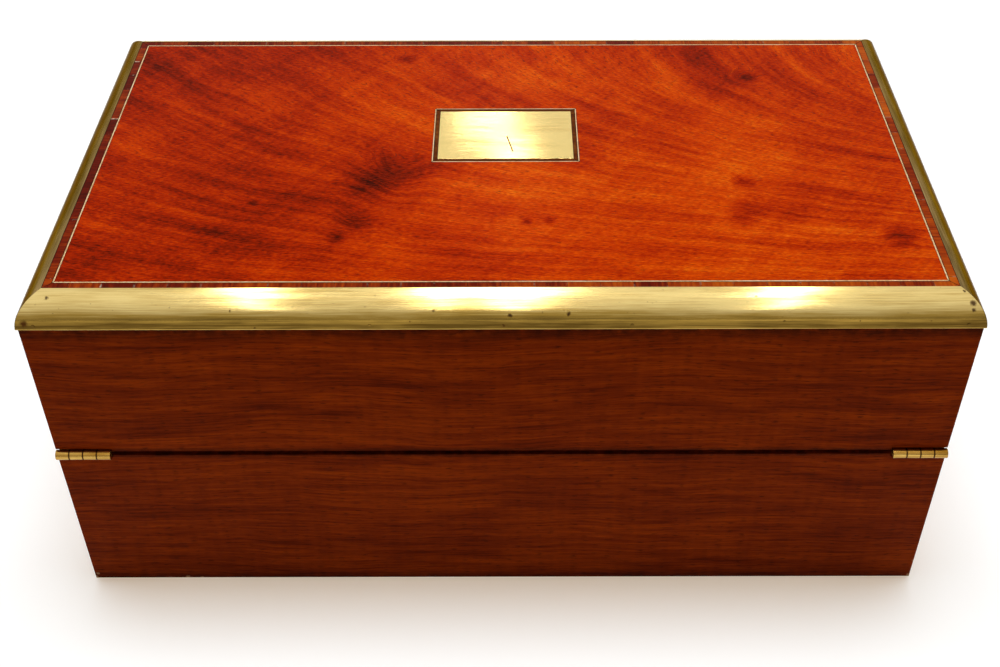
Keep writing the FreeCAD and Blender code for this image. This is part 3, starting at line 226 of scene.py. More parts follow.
def straight_wood(name, axis, stops, pore_colour, look, roughness=0.3, gloss=0.025, shade_and_dirt=None):
    """Plain-sawn wood with its grain along X, Y or Z: long dark and light lines and short sunk pores."""
    material, add = new_material(name)
    still = millimetres(add)
    place = warped(add, warped(add, still, 90, 9), 14, 1.2)
    parts = add("SeparateXYZ", place).node.outputs
    first, second = [parts[i] for i in "XYZ" if i != axis]
    across = add("Math", first, 0.45, second, operation="MULTIPLY_ADD")
    value, dashes = grain(add, across, parts[axis], look)
    colour = add("ValToRGB", value, stops=stops)
    colour = add("Mix", add("Math", dashes, 0.55, operation="MULTIPLY"), colour, paint(pore_colour),
                 data_type="RGBA")
    # Painted shade, with wax and grime, under the lip, along the split and at the foot; chips lighter
    if shade_and_dirt:
        colour = chipped(add, still, grime(add, still, colour, shade_and_dirt))
    add("OutputMaterial", polish(add, colour, dashes, roughness, gloss))
    return material


# Knots and dark places of the figured veneer: x, y, reach, push of the grain lines, darkness, in millimetres
KNOTS = [(-53, -22, 27, 15, 0.14), (-63, -28, 20, -6, 0.22), (120, 80, 75, 0, 0.1), (-66, -58, 14, 6, 0.18), (-73, -71, 7, 3, 0.3),
         (11, -58, 4, 1.5, 0.35), (22, -58, 4.5, -1.5, 0.35), (113, -28, 10, 7, 0.3), (110, -53, 13, -6, 0.2),
         (123, 65, 12, 8, 0.27), (-50, 86, 9, 5, 0.2), (177, -69, 13, -7, 0.36), (-113, -42, 4, 1, 0.3)]
# The sweep of its grain: a polynomial in u whose coefficients are polynomials in v
SWEEP = [(0, 89, -40, 3), (81, 28, -25, -2), (3, 13), (8,)]


def figured_veneer():
    """Figured mahogany veneer, French polished: streaks that sweep round, a few knots, short dark pores."""
    material, add = new_material("figured_mahogany_french_polished")
    flat = add("VectorMath", millimetres(add), (1, 1, 0), operation="MULTIPLY")
    place = warped(add, warped(add, flat, 45, 9), 9, 1.6)
    parts = add("SeparateXYZ", place).node.outputs
    u = add("Math", parts["X"], 200.0, operation="DIVIDE")
    v = add("Math", parts["Y"], 100.0, operation="DIVIDE")
    total = 0.0
    for row in reversed(SWEEP):
        value = float(row[-1])
        for number in reversed(row[:-1]):
            value = add("Math", value, v, float(number), operation="MULTIPLY_ADD")
        total = add("Math", total, u, value, operation="MULTIPLY_ADD")
    shade = 0.0
    for x, y, reach, push, dark in KNOTS:
        gap = add("VectorMath", place, (x, y, 0), operation="DISTANCE")
        near = add("MapRange", gap, 0.0, float(reach), 1.0, 0.0, interpolation_type="SMOOTHSTEP")
        total = add("Math", near, float(push), total, operation="MULTIPLY_ADD")
        shade = add("Math", near, dark, shade, operation="MULTIPLY_ADD")
    along = add("VectorMath", place, (0.77, -0.64, 0), operation="DOT_PRODUCT")
    value, dashes = grain(add, total, along, TOP_LOOK)
    clouds = add("TexNoise", flat, 1/75)
    value = add("Math", clouds, 0.6, value, operation="MULTIPLY_ADD")
    flecks = add("TexNoise", add("VectorMath", flat, inverse((2.6, 0.6, 1)), operation="MULTIPLY"), 1.0, 2, 0.6)
    value = add("Math", flecks, 0.8, value, operation="MULTIPLY_ADD")
    side = add("MapRange", parts["X"], -190.0, 60.0, -0.79, -0.6, interpolation_type="SMOOTHSTEP")
    value = add("Math", value, side, operation="ADD")
    value = add("Math", value, shade, operation="SUBTRACT")
    colour = add("ValToRGB", value, stops=[(0.0, "#2a0600"), (0.2, "#661200"), (0.42, "#9e2000"),
                                           (0.62, "#bf3700"), (0.82, "#d45204"), (1.0, "#e27410")])
    colour = add("Mix", add("Math", dashes, 0.6, operation="MULTIPLY"), colour, paint("#470a00"),
                 data_type="RGBA")
    add("OutputMaterial", polish(add, colour, dashes, 0.25, 0.025))
    return material


def crossband(name, along, across):
    """Short pieces of rosewood veneer laid side by side, grain across the band: each piece has its own shade,
    dark joints between them, and white specks where old filler shows."""
    material, add = new_material(name)
    place = millimetres(add)
    parts = add("SeparateXYZ", place).node.outputs
    value, dashes = grain(add, parts[along], parts[across], CROSS_LOOK)
    piece_place = add("Math", parts[along], 14.0, operation="DIVIDE")
    shade = add("TexWhiteNoise", add("Math", piece_place, operation="FLOOR"), noise_dimensions="1D")
    value = add("Math", add("Math", shade, 0.5, operation="SUBTRACT"), 0.36, value, operation="MULTIPLY_ADD")
    value = add("Math", add("MapRange", parts["X"], -200.0, 200.0, -0.14, 0.14), value, operation="ADD")
    colour = add("ValToRGB", value, stops=[(0.0, "#360600"), (0.35, "#661402"), (0.6, "#963606"),
                                           (1.0, "#c05c10")])
    joint = add("Math", add("Math", piece_place, operation="FRACT"), 0.5, operation="SUBTRACT")
    joint = add("Math", joint, operation="ABSOLUTE")
    line = add("MapRange", joint, 0.485, 0.495, 0.0, 0.7)
    colour = add("Mix", line, colour, paint("#180300"), data_type="RGBA")
    filler = add("MapRange", add("TexNoise", place, 1/4, 4, 0.7), 0.52, 0.6, 0.0, 1.0)
    filler = add("Math", filler, add("MapRange", joint, 0.46, 0.485, 0.0, 0.8), operation="MULTIPLY")
    filler = add("Math", filler, add("MapRange", parts["X"], -192.0, -150.0, 1.0, 0.15), operation="MULTIPLY")
    colour = add("Mix", filler, colour, paint("#e6d6bc"), data_type="RGBA")
    add("OutputMaterial", polish(add, colour, dashes, 0.3, 0.05))
    return material


# Metals

# Marks on the moulding of the hinge side: x and z in millimetres, and radius
MARKS = [(-189.8, 176.1, 1.1), (-199.6, 167.3, 2.0), (-28, 172.1, 0.8), (3.7, 170.4, 1.2), (28.3, 170.9, 1.2),
         (-38, 167.8, 0.6), (1.2, 166.2, 0.7), (-113, 172.2, 0.6), (-103.2, 165.2, 0.7), (106.4, 176.2, 0.6),
         (197, 174.2, 1.6), (197.4, 172, 1.1), (193.6, 177.2, 0.8), (118.5, 168, 0.6)]
# Distances from the middle of the box to the joints between the main hinge's knuckles, in millimetres, where the brass
# is darkened: painted shade in the gaps
KNUCKLE_JOINTS = (184.25, 190.5, 196.75)


def brass(name, axis, clean="#ebcf86", dull="#b08c3e", dark="#5a4318", wear=0.5, roughness=0.2, heights=None,
          marks=(), joints=(), grazing="#ffffff"):
    """Old brass, once polished by hand: fine scratches along it, dull patches, dark specks, and painted shade at given
    joints.

    heights gives where the lower part's darkening starts and is full, and its depth: tarnish together with painted
    shade for the darker reflection there; the lowest half millimetre is painted lighter, as brass rubbed clean and as a
    painted highlight along the lip.
    """
    material, add = new_material(name)
    place = millimetres(add)
    run = {"X": (30, 0.6, 0.6), "Y": (0.6, 30, 0.6), "Z": (0.6, 0.6, 30)}[axis]
    scaled = add("VectorMath", place, inverse(run), operation="MULTIPLY")
    scratches = add("TexNoise", scaled, 1.0, 3, 0.65)
    along = add("SeparateXYZ", place).node.outputs["X"]
    smears = {"X": (50, 10, 10), "Y": (10, 50, 10), "Z": (10, 10, 50)}[axis]
    patches = add("TexNoise", add("VectorMath", place, inverse(smears), operation="MULTIPLY"), 1.0, 4, 0.6)
    value = add("Math", patches, 0.5, 0.575 - wear, operation="MULTIPLY_ADD")
    value = add("Math", scratches, 0.45, value, operation="MULTIPLY_ADD")
    if heights:
        start, full, depth = heights
        height = add("SeparateXYZ", place).node.outputs["Z"]
        # Darker towards the bottom: tarnish with painted shade; lighter in the lowest half millimetre: a painted
        # highlight along the lip, with brass rubbed clean
        value = add("Math", value, add("MapRange", height, full, start, -depth, 0.0), operation="ADD")
        value = add("Math", value, add("MapRange", height, 164.1, 164.7, 0.5, 0.0), operation="ADD")
    colour = add("ValToRGB", value, stops=[(0.0, dark), (0.32, dull), (0.62, clean)])
    specks = add("MapRange", add("TexNoise", place, 1/1.3), 0.72, 0.78, 0.0, 0.6)
    ragged = warped(add, place, 1.5, 1.6)
    for x, z, radius in marks:
        y = ROUND_Y - math.sqrt(MOULDING_ROUND**2 - (z*MM - ROUND_Z)**2)
        gap = add("VectorMath", ragged, (x, y/MM, z), operation="DISTANCE")
        mark = add("MapRange", gap, 0.35*radius, float(radius), 0.9, 0.0)
        specks = add("Math", specks, mark, operation="MAXIMUM")
    # Painted shade: the brass darkened at the joints between knuckles
    for x in joints:
        gap = add("Math", add("Math", add("Math", along, operation="ABSOLUTE"), x, operation="SUBTRACT"),
                  operation="ABSOLUTE")
        specks = add("Math", specks, add("MapRange", gap, 0.2, 0.5, 0.95, 0.0), operation="MAXIMUM")
    colour = add("Mix", specks, colour, paint("#3a1a08"), data_type="RGBA")
    wavy = add("Bump", named={"Height": patches, "Distance": 0.3*MM, "Strength": 0.2})
    add("OutputMaterial", add("BsdfPrincipled", named={
        "Base Color": colour, "Metallic": 1.0, "Specular Tint": paint(grazing),
        "Roughness": add("MapRange", value, 0.0, 0.8, roughness + 0.07, roughness),
        "Normal": add("Bump", named={"Height": scratches, "Distance": 0.02*MM, "Strength": 0.5, "Normal": wavy})}))
    return material


def worn_steel():
    """Forged steel, worn by the hand: grey with brown stains."""
    material, add = new_material("forged_steel_worn")
    stains = add("TexNoise", millimetres(add), 1/3, 4, 0.65)
    colour = add("ValToRGB", stains, stops=[(0.3, "#3b2c20"), (0.5, "#77706a"), (0.8, "#a8a49e")])
    add("OutputMaterial", add("BsdfPrincipled", named={
        "Base Color": colour, "Metallic": 1.0, "Roughness": add("MapRange", stains, 0.3, 0.8, 0.55, 0.3),
        "Normal": add("Bump", named={"Height": stains, "Distance": 0.05*MM, "Strength": 0.4})}))
    return material


# Soft materials and glass

def mottled(name, stops, mottle, fine, roughness, depth, gloss=0.5, **extra):
    """A material of two mixed sizes of mottling, in millimetres, the finer one in relief."""
    material, add = new_material(name)
    place = millimetres(add)
    relief = add("TexNoise", place, 1/fine, 2, 0.6)
    value = add("Math", add("TexNoise", place, 1/mottle, 3, 0.6), relief, operation="ADD")
    colour = add("ValToRGB", add("Math", value, 0.5, operation="MULTIPLY"), stops=stops)
    add("OutputMaterial", add("BsdfPrincipled", named={
        "Base Color": colour, "Roughness": roughness, "Specular IOR Level": gloss,
        "Normal": add("Bump", named={"Height": relief, "Distance": depth*MM, "Strength": 0.6}), **extra}))
    return material


LEATHER_STOPS = [(0.3, "#071a10"), (0.5, "#12331f"), (0.72, "#27503a")]
# Side of one lozenge of the gold-tooled band, in millimetres
TOOL = 4


def goatskin(name, tooled):
    """Dyed goatskin: a pebbled grain that shines on its tops, rubbed paler in places. The tooled one carries
    a row of small lozenges in gold leaf, set out by the piece's own map."""
    material, add = new_material(name)
    place = millimetres(add)
    pebbles = add("TexVoronoi", place, 1/0.9, feature="SMOOTH_F1")
    rubbed = add("TexNoise", place, 1/26, 4, 0.6)
    value = add("Math", rubbed, 0.8, add("Math", pebbles, 0.25, operation="MULTIPLY"), operation="MULTIPLY_ADD")
    colour = add("ValToRGB", value, stops=LEATHER_STOPS)
    named = {"Base Color": colour, "Roughness": add("MapRange", pebbles, 0.1, 0.7, 0.38, 0.6),
             "Specular IOR Level": 0.35}
    relief = add("Math", 1.0, pebbles, operation="SUBTRACT")
    if tooled:
        flat = add("VectorMath", add("TexCoord").node.outputs["UV"], (1/TOOL, 1/TOOL, 0), operation="MULTIPLY")
        cell = add("VectorMath", add("VectorMath", flat, operation="FRACTION"), (0.5, 0.5, 0),
                   operation="SUBTRACT")
        parts = add("SeparateXYZ", add("VectorMath", cell, operation="ABSOLUTE")).node.outputs
        reach = add("Math", parts["X"], parts["Y"], operation="ADD")
        gold = add("MapRange", reach, 0.26, 0.32, 1.0, 0.0)
        heart = add("MapRange", reach, 0.08, 0.12, 0.0, 1.0)
        worn = add("MapRange", add("TexNoise", place, 1/2.2, 3), 0.36, 0.46, 0.0, 1.0)
        gold = add("Math", add("Math", gold, heart, operation="MULTIPLY"), worn, operation="MULTIPLY")
        named["Base Color"] = add("Mix", gold, colour, paint("#e0b455"), data_type="RGBA")
        named["Metallic"] = gold
        relief = add("Math", relief, gold, operation="SUBTRACT")
    named["Normal"] = add("Bump", named={"Height": relief, "Distance": 0.1*MM, "Strength": 0.5})
    add("OutputMaterial", add("BsdfPrincipled", named=named))
    return material


def old_glass():
    """Pressed clear glass with a faint green and a rippled surface."""
    material, add = new_material("pressed_glass_clear")
    ripple = add("TexNoise", millimetres(add), 1/9, 1)
    add("OutputMaterial", add("BsdfPrincipled", named={
        "Base Color": paint("#eef7f0"), "Roughness": 0.02, "IOR": 1.52, "Transmission Weight": 1.0,
        "Normal": add("Bump", named={"Height": ripple, "Distance": 0.15*MM, "Strength": 0.2})}))
    return material


SIDE_STOPS = [(0.0, "#300800"), (0.3, "#601700"), (0.5, "#7e2500"), (0.72, "#973300"), (1.0, "#b64c06")]
INNER_STOPS = [(0.0, "#4a220c"), (0.35, "#7a4018"), (0.6, "#94542a"), (1.0, "#b87a45")]
# Where the near moulding darkens, tarnish with painted shade: start and full heights in millimetres, and depth
TARNISH_AND_SHADE = (173, 166.5, 0.5)

MATERIALS = {
    "veneer": figured_veneer(),
    # The outer walls carry painted shade, with wax and grime, under the brass lip, along the split and at the foot
    "side_x": straight_wood("mahogany_side_grain_along_x", "X", SIDE_STOPS, "#2a0a02", SIDE_LOOK, shade_and_dirt="#1c0601"),
    "side_y": straight_wood("mahogany_side_grain_along_y", "Y", SIDE_STOPS, "#2a0a02", SIDE_LOOK, shade_and_dirt="#1c0601"),
    "inner_x": straight_wood("mahogany_inner_grain_along_x", "X", INNER_STOPS, "#3c1a0a", INNER_LOOK, 0.5, 0.2),
    "inner_y": straight_wood("mahogany_inner_grain_along_y", "Y", INNER_STOPS, "#3c1a0a", INNER_LOOK, 0.5, 0.2),
    "cross_x": crossband("rosewood_crossband_along_x", "X", "Y"),
    "cross_y": crossband("rosewood_crossband_along_y", "Y", "X"),
    "band": straight_wood("rosewood_band_polished", "X", [(0.0, "#200800"), (0.5, "#5c2808"), (1.0, "#965a20")],
                          "#160500", CROSS_LOOK),
    "glue": mottled("hide_glue_line_dark", [(0.3, "#1c0802"), (0.7, "#3a1a0a")], 3, 0.5, 0.6, 0.01, gloss=0.1),
    "grime": mottled("old_polish_in_scratches", [(0.3, "#2a1606"), (0.7, "#5a3814")], 3, 0.5, 0.6, 0.01, gloss=0.1),
    "string": mottled("boxwood_stringing_polished", [(0.3, "#a87a48"), (0.5, "#e0b886"), (0.7, "#f4dcb4")],
                      9, 1.2, 0.3, 0.02, gloss=0.1),
    "edge_x": brass("cast_brass_moulding_along_x", "X", roughness=0.08, heights=TARNISH_AND_SHADE, marks=MARKS),
    # The side mouldings: a darker copy of the same brass with a duller grazing tint, painted shade for how dim they
    # look from above; lower down also tarnish with painted shade
    "edge_y": brass("cast_brass_moulding_along_y_painted_dark", "Y", clean="#dcbc84", dull="#84704c", dark="#4a3a28",
                    wear=0.6, heights=(177.3, 172.0, 0.45), grazing="#b49c74"),
    "plaque": brass("sheet_brass_plaque_brushed", "X", clean="#fbdc8c", dull="#d8a850", dark="#8a6230", wear=0.42,
                    roughness=0.08),
    "brass": brass("cast_brass_fittings", "X", wear=0.55),
    # The hinge brass carries painted shade at the joints between its knuckles
    "hinge": brass("cast_brass_hinge_knuckles", "X", clean="#ecc46c", dull="#96681e", dark="#3a220a", wear=0.66,
                   roughness=0.18, joints=KNUCKLE_JOINTS),
    "steel": worn_steel(),
    "leather": goatskin("goatskin_leather_dyed_green", False),
    "tooled": goatskin("goatskin_leather_gold_tooled", True),
    "gilt": brass("gold_leaf_pressed_line", "X", clean="#e8c26a", dull="#b08838", dark="#3a2f14", wear=0.45,
                  roughness=0.35),
    "thread": mottled("linen_thread_waxed", [(0.3, "#8a7a50"), (0.6, "#cabb8c")], 2, 0.3, 0.7, 0.05),
    "baize": mottled("wool_baize_green", [(0.3, "#0d2416"), (0.5, "#1a3a26"), (0.75, "#2c5540")],
                     6, 0.5, 0.95, 0.3, gloss=0.1, **{"Sheen Weight": 0.4}),
    "glass": old_glass(),
}


# Modelling helpers

def deselect():
    if bpy.context.object and bpy.context.object.mode != "OBJECT":
        bpy.ops.object.mode_set(mode="OBJECT")
    bpy.ops.object.select_all(action="DESELECT")


def take(*pieces):
    """Select pieces, the first one active."""
    deselect()
    bpy.context.view_layer.objects.active = pieces[0]
    for piece in pieces:
        piece.select_set(True)
    return pieces[0]


def edit(piece, kind="EDGE"):
    """Open a piece with nothing selected."""
    take(piece)
    bpy.ops.object.mode_set(mode="EDIT")
    bpy.ops.mesh.select_mode(type=kind)
    bpy.ops.mesh.select_all(action="DESELECT")
    bpy.ops.object.mode_set(mode="OBJECT")


def pick(piece, kind, chosen):
    """Open a piece with the edges or faces for which chosen(corner places) holds selected; returns how many."""
    edit(piece, kind)
    mesh = piece.data
    parts = mesh.edges if kind == "EDGE" else mesh.polygons
    count = 0
    for part in parts:
        part.select = chosen([mesh.vertices[i].co for i in part.vertices])
        count += part.select
    bpy.ops.object.mode_set(mode="EDIT")
    return count


def close():
    bpy.ops.object.mode_set(mode="OBJECT")


def added(name):
    """The primitive just added, with its turn, place and size put into its mesh."""
    piece = bpy.context.object
    piece.name = name
    bpy.ops.object.transform_apply(location=True, rotation=True, scale=True)
    return piece


def slab(name, low, high):
    """A box between two corners."""
    deselect()
    bpy.ops.mesh.primitive_cube_add(size=1, location=[(a + b)/2 for a, b in zip(low, high)])
    bpy.context.object.scale = [b - a for a, b in zip(low, high)]
    return added(name)


def rod(name, radius, length, middle, axis="Z", sides=32):
    """A cylinder along X, Y or Z."""
    deselect()
    turn = {"X": (0, math.pi/2, 0), "Y": (math.pi/2, 0, 0), "Z": (0, 0, 0)}[axis]
    bpy.ops.mesh.primitive_cylinder_add(vertices=sides, radius=radius, depth=length, location=middle, rotation=turn)
    return added(name)


def carried(piece, matrix):
    """Carry a piece to its place and put that into its mesh."""
    piece.matrix_world = matrix
    take(piece)
    bpy.ops.object.transform_apply(location=True, rotation=True, scale=True)
    return piece


# From the slope's frame, with the hinge axis as origin, into the row's
FROM_SLOPE = Matrix.Translation((0, AXIS_Y, AXIS_Z)) @ Matrix.Rotation(SLOPE, 4, "X")
UPSIDE_DOWN = Matrix.Rotation(math.pi, 4, "Y")


def apply_modifier(piece, kind, **settings):
    take(piece)
    modifier = piece.modifiers.new(kind.lower(), kind)
    for name, value in settings.items():
        setattr(modifier, name, value)
    bpy.ops.object.modifier_apply(modifier=modifier.name)


def combine(piece, operation, *others):
    """Take others out of a piece (DIFFERENCE), weld them on (UNION) or keep what both fill (INTERSECT)."""
    for other in others:
        apply_modifier(piece, "BOOLEAN", operation=operation, object=other, solver="EXACT")
        bpy.data.objects.remove(other)


def joined(name, pieces):
    """Pieces as one object, each with its own mesh and materials."""
    take(*pieces)
    if len(pieces) > 1:
        bpy.ops.object.join()
    pieces[0].name = name
    return pieces[0]


def copied(model, name, matrix):
    """A copy with its own mesh, carried to a place."""
    copy = bpy.data.objects.new(name, model.data.copy())
    bpy.context.collection.objects.link(copy)
    return carried(copy, matrix)


def tidy_mesh(piece):
    """Merge doubles and make flat areas single faces."""
    take(piece)
    bpy.ops.object.mode_set(mode="EDIT")
    bpy.ops.mesh.select_all(action="SELECT")
    bpy.ops.mesh.remove_doubles(threshold=2e-6)
    bpy.ops.mesh.dissolve_limited(angle_limit=math.radians(0.6))
    bpy.ops.object.mode_set(mode="OBJECT")


def smooth(piece, angle=34):
    """Smooth shading, sharp where faces meet at more than an angle; broad faces keep their own normals."""
    take(piece)
    bpy.ops.object.shade_smooth_by_angle(angle=math.radians(angle))
    apply_modifier(piece, "WEIGHTED_NORMAL", keep_sharp=True)
    return piece


def rounded(piece, width, segments=2, angle=40):
    """Break the sharp edges of a piece by a width in millimetres."""
    apply_modifier(piece, "BEVEL", width=width*MM, segments=segments, limit_method="ANGLE",
                   angle_limit=math.radians(angle), miter_outer="MITER_ARC", harden_normals=False)
    return smooth(piece)


def round_edges(piece, width, chosen, segments=4):
    """Round the edges whose corner places pass a test."""
    pick(piece, "EDGE", chosen)
    bpy.ops.mesh.bevel(offset=width, segments=segments, affect="EDGES", clamp_overlap=True)
    close()


def dress(piece, *finishes):
    """Give a piece its materials, in the order of its faces' slots."""
    piece.data.materials.clear()
    for finish in finishes:
        piece.data.materials.append(MATERIALS[finish])
    return piece


def stands_for(piece, *nodes):
    """A piece takes the place and body of CAD nodes, which are hidden."""
    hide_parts(*nodes)
    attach(piece, BODY_OF[nodes[0]])
    return piece


def copy_of(name, *nodes):
    """A new piece with the shape of CAD nodes."""
    copies = []
    for node in nodes:
        copy = copied(frame["nodes"][node], name, Matrix())
        copy.data.materials.clear()
        take(copy)
        bpy.ops.mesh.customdata_custom_splitnormals_clear()
        bpy.ops.object.mode_set(mode="EDIT")
        bpy.ops.mesh.select_all(action="SELECT")
        bpy.ops.mesh.remove_doubles(threshold=2e-6)
        bpy.ops.object.mode_set(mode="OBJECT")
        copies.append(copy)
    combine(copies[0], "UNION", *copies[1:])
    tidy_mesh(copies[0])
    return copies[0]


# Walls of both halves: each half's four boards as one carcass

def carcass(half):
    nodes = [f"{half}_{part}" for part in ("hinge_wall", "lock_wall", "end_left", "end_right")]
    piece = copy_of(f"{half}_carcass", *nodes)
    longest = 12*MM
    round_edges(piece, 0.45*MM, lambda ends: (ends[0] - ends[1]).length > longest, 3)
    smooth(piece)
    dress(piece, "side_x", "side_y", "inner_x", "inner_y")
    for face in piece.data.polygons:
        middle, normal = face.center, face.normal
        on_end = abs(middle.x) > HALF_WIDTH - WALL and abs(middle.y) < HALF_DEPTH - WALL
        inside = middle.x*normal.x < -WALL/2 or middle.y*normal.y < -WALL/2
        face.material_index = (1 if on_end or abs(normal.x) > 0.7 else 0) + (2 if inside else 0)
    return stands_for(piece, *nodes)


carcass("base")
carcass("lid")


# Strips along the four sides of a rectangle, mitred at its corners

SIDES = [(True, -1), (True, 1), (False, -1), (False, 1)]


def mitre(piece, half_length, start, gap):
    """Cut both ends of a piece along X at 45 degrees, from its outer face at y = start."""
    for end in (-1, 1):
        pick(piece, "FACE", lambda corners: True)
        bpy.ops.mesh.bisect(plane_co=(end*(half_length - gap), start, 0), plane_no=(end, 1, 0), use_fill=True,
                            clear_outer=True)
        close()


def carry_to_side(piece, along_x, sign, half_x, half_y, centre=(0, 0)):
    """Carry a piece made along X, its outer face at y = 0, to one side of a rectangle."""
    turn = {(True, -1): 0, (True, 1): 180, (False, -1): -90, (False, 1): 90}[along_x, sign]
    x, y = (0, sign*half_y) if along_x else (sign*half_x, 0)
    return carried(piece, Matrix.Translation((centre[0] + x, centre[1] + y, 0)) @
                   Matrix.Rotation(math.radians(turn), 4, "Z"))


def moulding(name, along_x, sign, node):
    """A brass edge: a slab turned to one round from top to lip, stepped inside and mitred at both ends."""
    reach = HALF_WIDTH if along_x else HALF_DEPTH
    bottom = HEIGHT - MOULDING_SIDE
    piece = slab(name, (-reach - PROUD, -PROUD, bottom), (reach + PROUD, MOULDING_TOP, HEIGHT))
    middle = (0, ROUND_Y + HALF_DEPTH, ROUND_Z)
    combine(piece, "INTERSECT", rod("round", MOULDING_ROUND, 3*reach, middle, "X", 240))
    step = slab("step", (-2*reach, MOULDING_LEG, bottom - WALL), (2*reach, 2*WALL, HEIGHT - MOULDING_COVER))
    combine(piece, "DIFFERENCE", step)
    mitre(piece, reach + PROUD, -PROUD, 0.04*MM)
    tidy_mesh(piece)
    carry_to_side(piece, along_x, sign, HALF_WIDTH, HALF_DEPTH)
    rounded(piece, 0.2, angle=35)
    dress(piece, "edge_x" if along_x else "edge_y")
    return stands_for(piece, node)


for (along_x, sign), side in zip(SIDES, ("hinge_side", "lock_side", "left", "right")):
    moulding("moulding_" + side, along_x, sign, "brass_edge_" + side)


def inlay(node, half, width, centre, along, across, line=0.16):
    """A mitred frame of four strips level with the veneer, in glue lines of a width in millimetres: half gives
    its outer half sizes."""
    strips = []
    for along_x, sign in SIDES:
        reach = half[0] if along_x else half[1]
        strip = slab(node + "_strip", (-reach, 0, TOP - VENEER), (reach, width, TOP))
        mitre(strip, reach, 0, 0.02*MM)
        carry_to_side(strip, along_x, sign, *half, centre)
        strips.append(dress(strip, along if along_x else across, "glue"))
    piece = joined(node + "_mitred", strips)
    apply_modifier(piece, "BEVEL", width=line*MM, segments=1, limit_method="ANGLE", angle_limit=math.radians(40),
                   material=list(piece.data.materials).index(MATERIALS["glue"]))
    smooth(piece)
    return stands_for(piece, node)


panel = (HALF_WIDTH - MOULDING_TOP, HALF_DEPTH - MOULDING_TOP)
inlay("top_crossband", panel, CROSSBAND, (0, 0), "cross_x", "cross_y")
inlay("top_stringing", [reach - CROSSBAND for reach in panel], STRING, (0, 0), "string", "string")
around = PLAQUE_BAND + PLAQUE_STRING
inlay("plaque_stringing", [reach + around for reach in PLAQUE_HALF], PLAQUE_STRING, PLAQUE_CENTRE, "string",
      "string")
inlay("plaque_band", [reach + PLAQUE_BAND for reach in PLAQUE_HALF], PLAQUE_BAND, PLAQUE_CENTRE, "band", "band")

frame["nodes"]["top_veneer"].material_slots[0].material = MATERIALS["veneer"]


def plaque():
    """A sheet of brass with a bevelled edge, nicked along its lower side where it has lifted."""
    low = [c - h for c, h in zip(PLAQUE_CENTRE, PLAQUE_HALF)]
    high = [c + h for c, h in zip(PLAQUE_CENTRE, PLAQUE_HALF)]
    piece = slab("plaque_plate", (*low, TOP - VENEER), (*high, TOP))
    nicks = [(-28.5, 0.7), (-9, 2.2), (3.5, 1.6), (14, 2.6), (24.5, 2.0), (29.5, 1.0)]
    for x, length in nicks:
        nick = rod("nick", 0.28*MM, 3*MM, (0, 0, 0), "Z", 12)
        carried(nick, Matrix.Translation((PLAQUE_CENTRE[0] + x*MM, low[1], TOP)) @ Matrix.Diagonal((length*2, 1, 1, 1)))
        combine(piece, "DIFFERENCE", nick)
    rounded(piece, 0.12)
    scratch = rod("scratch", 0.4*MM, 14*MM, (0, 0, 0), "Y", 4)
    carried(scratch, Matrix.Translation((4*MM, 5*MM, TOP + 0.1*MM)) @ Matrix.Rotation(math.radians(12), 4, "Z"))
    combine(piece, "DIFFERENCE", scratch)
    smooth(piece)
    dress(piece, "plaque", "grime")
    for face in piece.data.polygons:
        x, y, z = face.center/MM
        if abs(x - 4) < 3 and abs(y - 5) < 5 and z < TOP/MM - 0.01:
            face.material_index = 1
    return stands_for(piece, "centre_plaque")


plaque()


# Screws, all alike: one is turned and slotted, the others are copies

SCREW_HEAD, SCREW_SHANK, SCREW_LENGTH = 2.1*MM, 1.1*MM, 7.5*MM


def turned_screw():
    """A countersunk screw that points down, the flat of its head at the origin."""
    depth = SCREW_HEAD - SCREW_SHANK
    deselect()
    bpy.ops.mesh.primitive_cone_add(vertices=32, radius1=SCREW_SHANK, radius2=SCREW_HEAD, depth=depth,
                                    location=(0, 0, -depth/2))
    piece = added("screw")
    round_edges(piece, 0.1*MM, lambda ends: all(p.z > -0.01*MM for p in ends), 2)
    shank = rod("shank", SCREW_SHANK*0.98, SCREW_LENGTH - depth/2, (0, 0, -(SCREW_LENGTH + depth/2)/2), "Z", 16)
    slot = slab("slot", (-2*SCREW_HEAD, -0.3*MM, -0.5*MM), (2*SCREW_HEAD, 0.3*MM, MM))
    combine(piece, "UNION", shank)
    combine(piece, "DIFFERENCE", slot)
    return smooth(piece)


def screws(node, places):
    """Copies of the screw at places, each turned its own way."""
    model = turned_screw()
    copies = [copied(model, "screw", matrix @ Matrix.Rotation(math.radians(37*number), 4, "Z"))
              for number, matrix in enumerate(places, start=1)]
    bpy.data.objects.remove(model)
    return stands_for(dress(joined(node + "_slotted", copies), "brass"), node)


LEAF_SCREWS = [(sign*x*MM, v*MM) for sign in (-1, 1) for x, v in ((166.5, 5.825), (198.5, 5.825), (198.5, 42.5))]
LEAF_FACE = 0.7*MM
base_places = [FROM_SLOPE @ Matrix.Translation((x, v, -LEAF_FACE)) for x, v in LEAF_SCREWS]
lid_places = [FROM_SLOPE @ Matrix.Translation((x, v, LEAF_FACE)) @ UPSIDE_DOWN for x, v in LEAF_SCREWS]
# The lock's cover plate is screwed on from inside, the link plate from below
INTO_WALL = Matrix.Rotation(math.pi/2, 4, "X")
base_places += [Matrix.Translation((x*MM, HALF_DEPTH - WALL, z*MM)) @ INTO_WALL
                for x in (-33.5, 33.5) for z in (91.82, 111.82)]
lid_places += [FROM_SLOPE @ Matrix.Translation((x*MM, 228.15*MM, RIM)) @ UPSIDE_DOWN for x in (-25.8, 25.8)]
screws("base_screws", base_places)
screws("lid_screws", lid_places)


# Leathers let into the writing flaps, lifting tabs, and the baize under the box

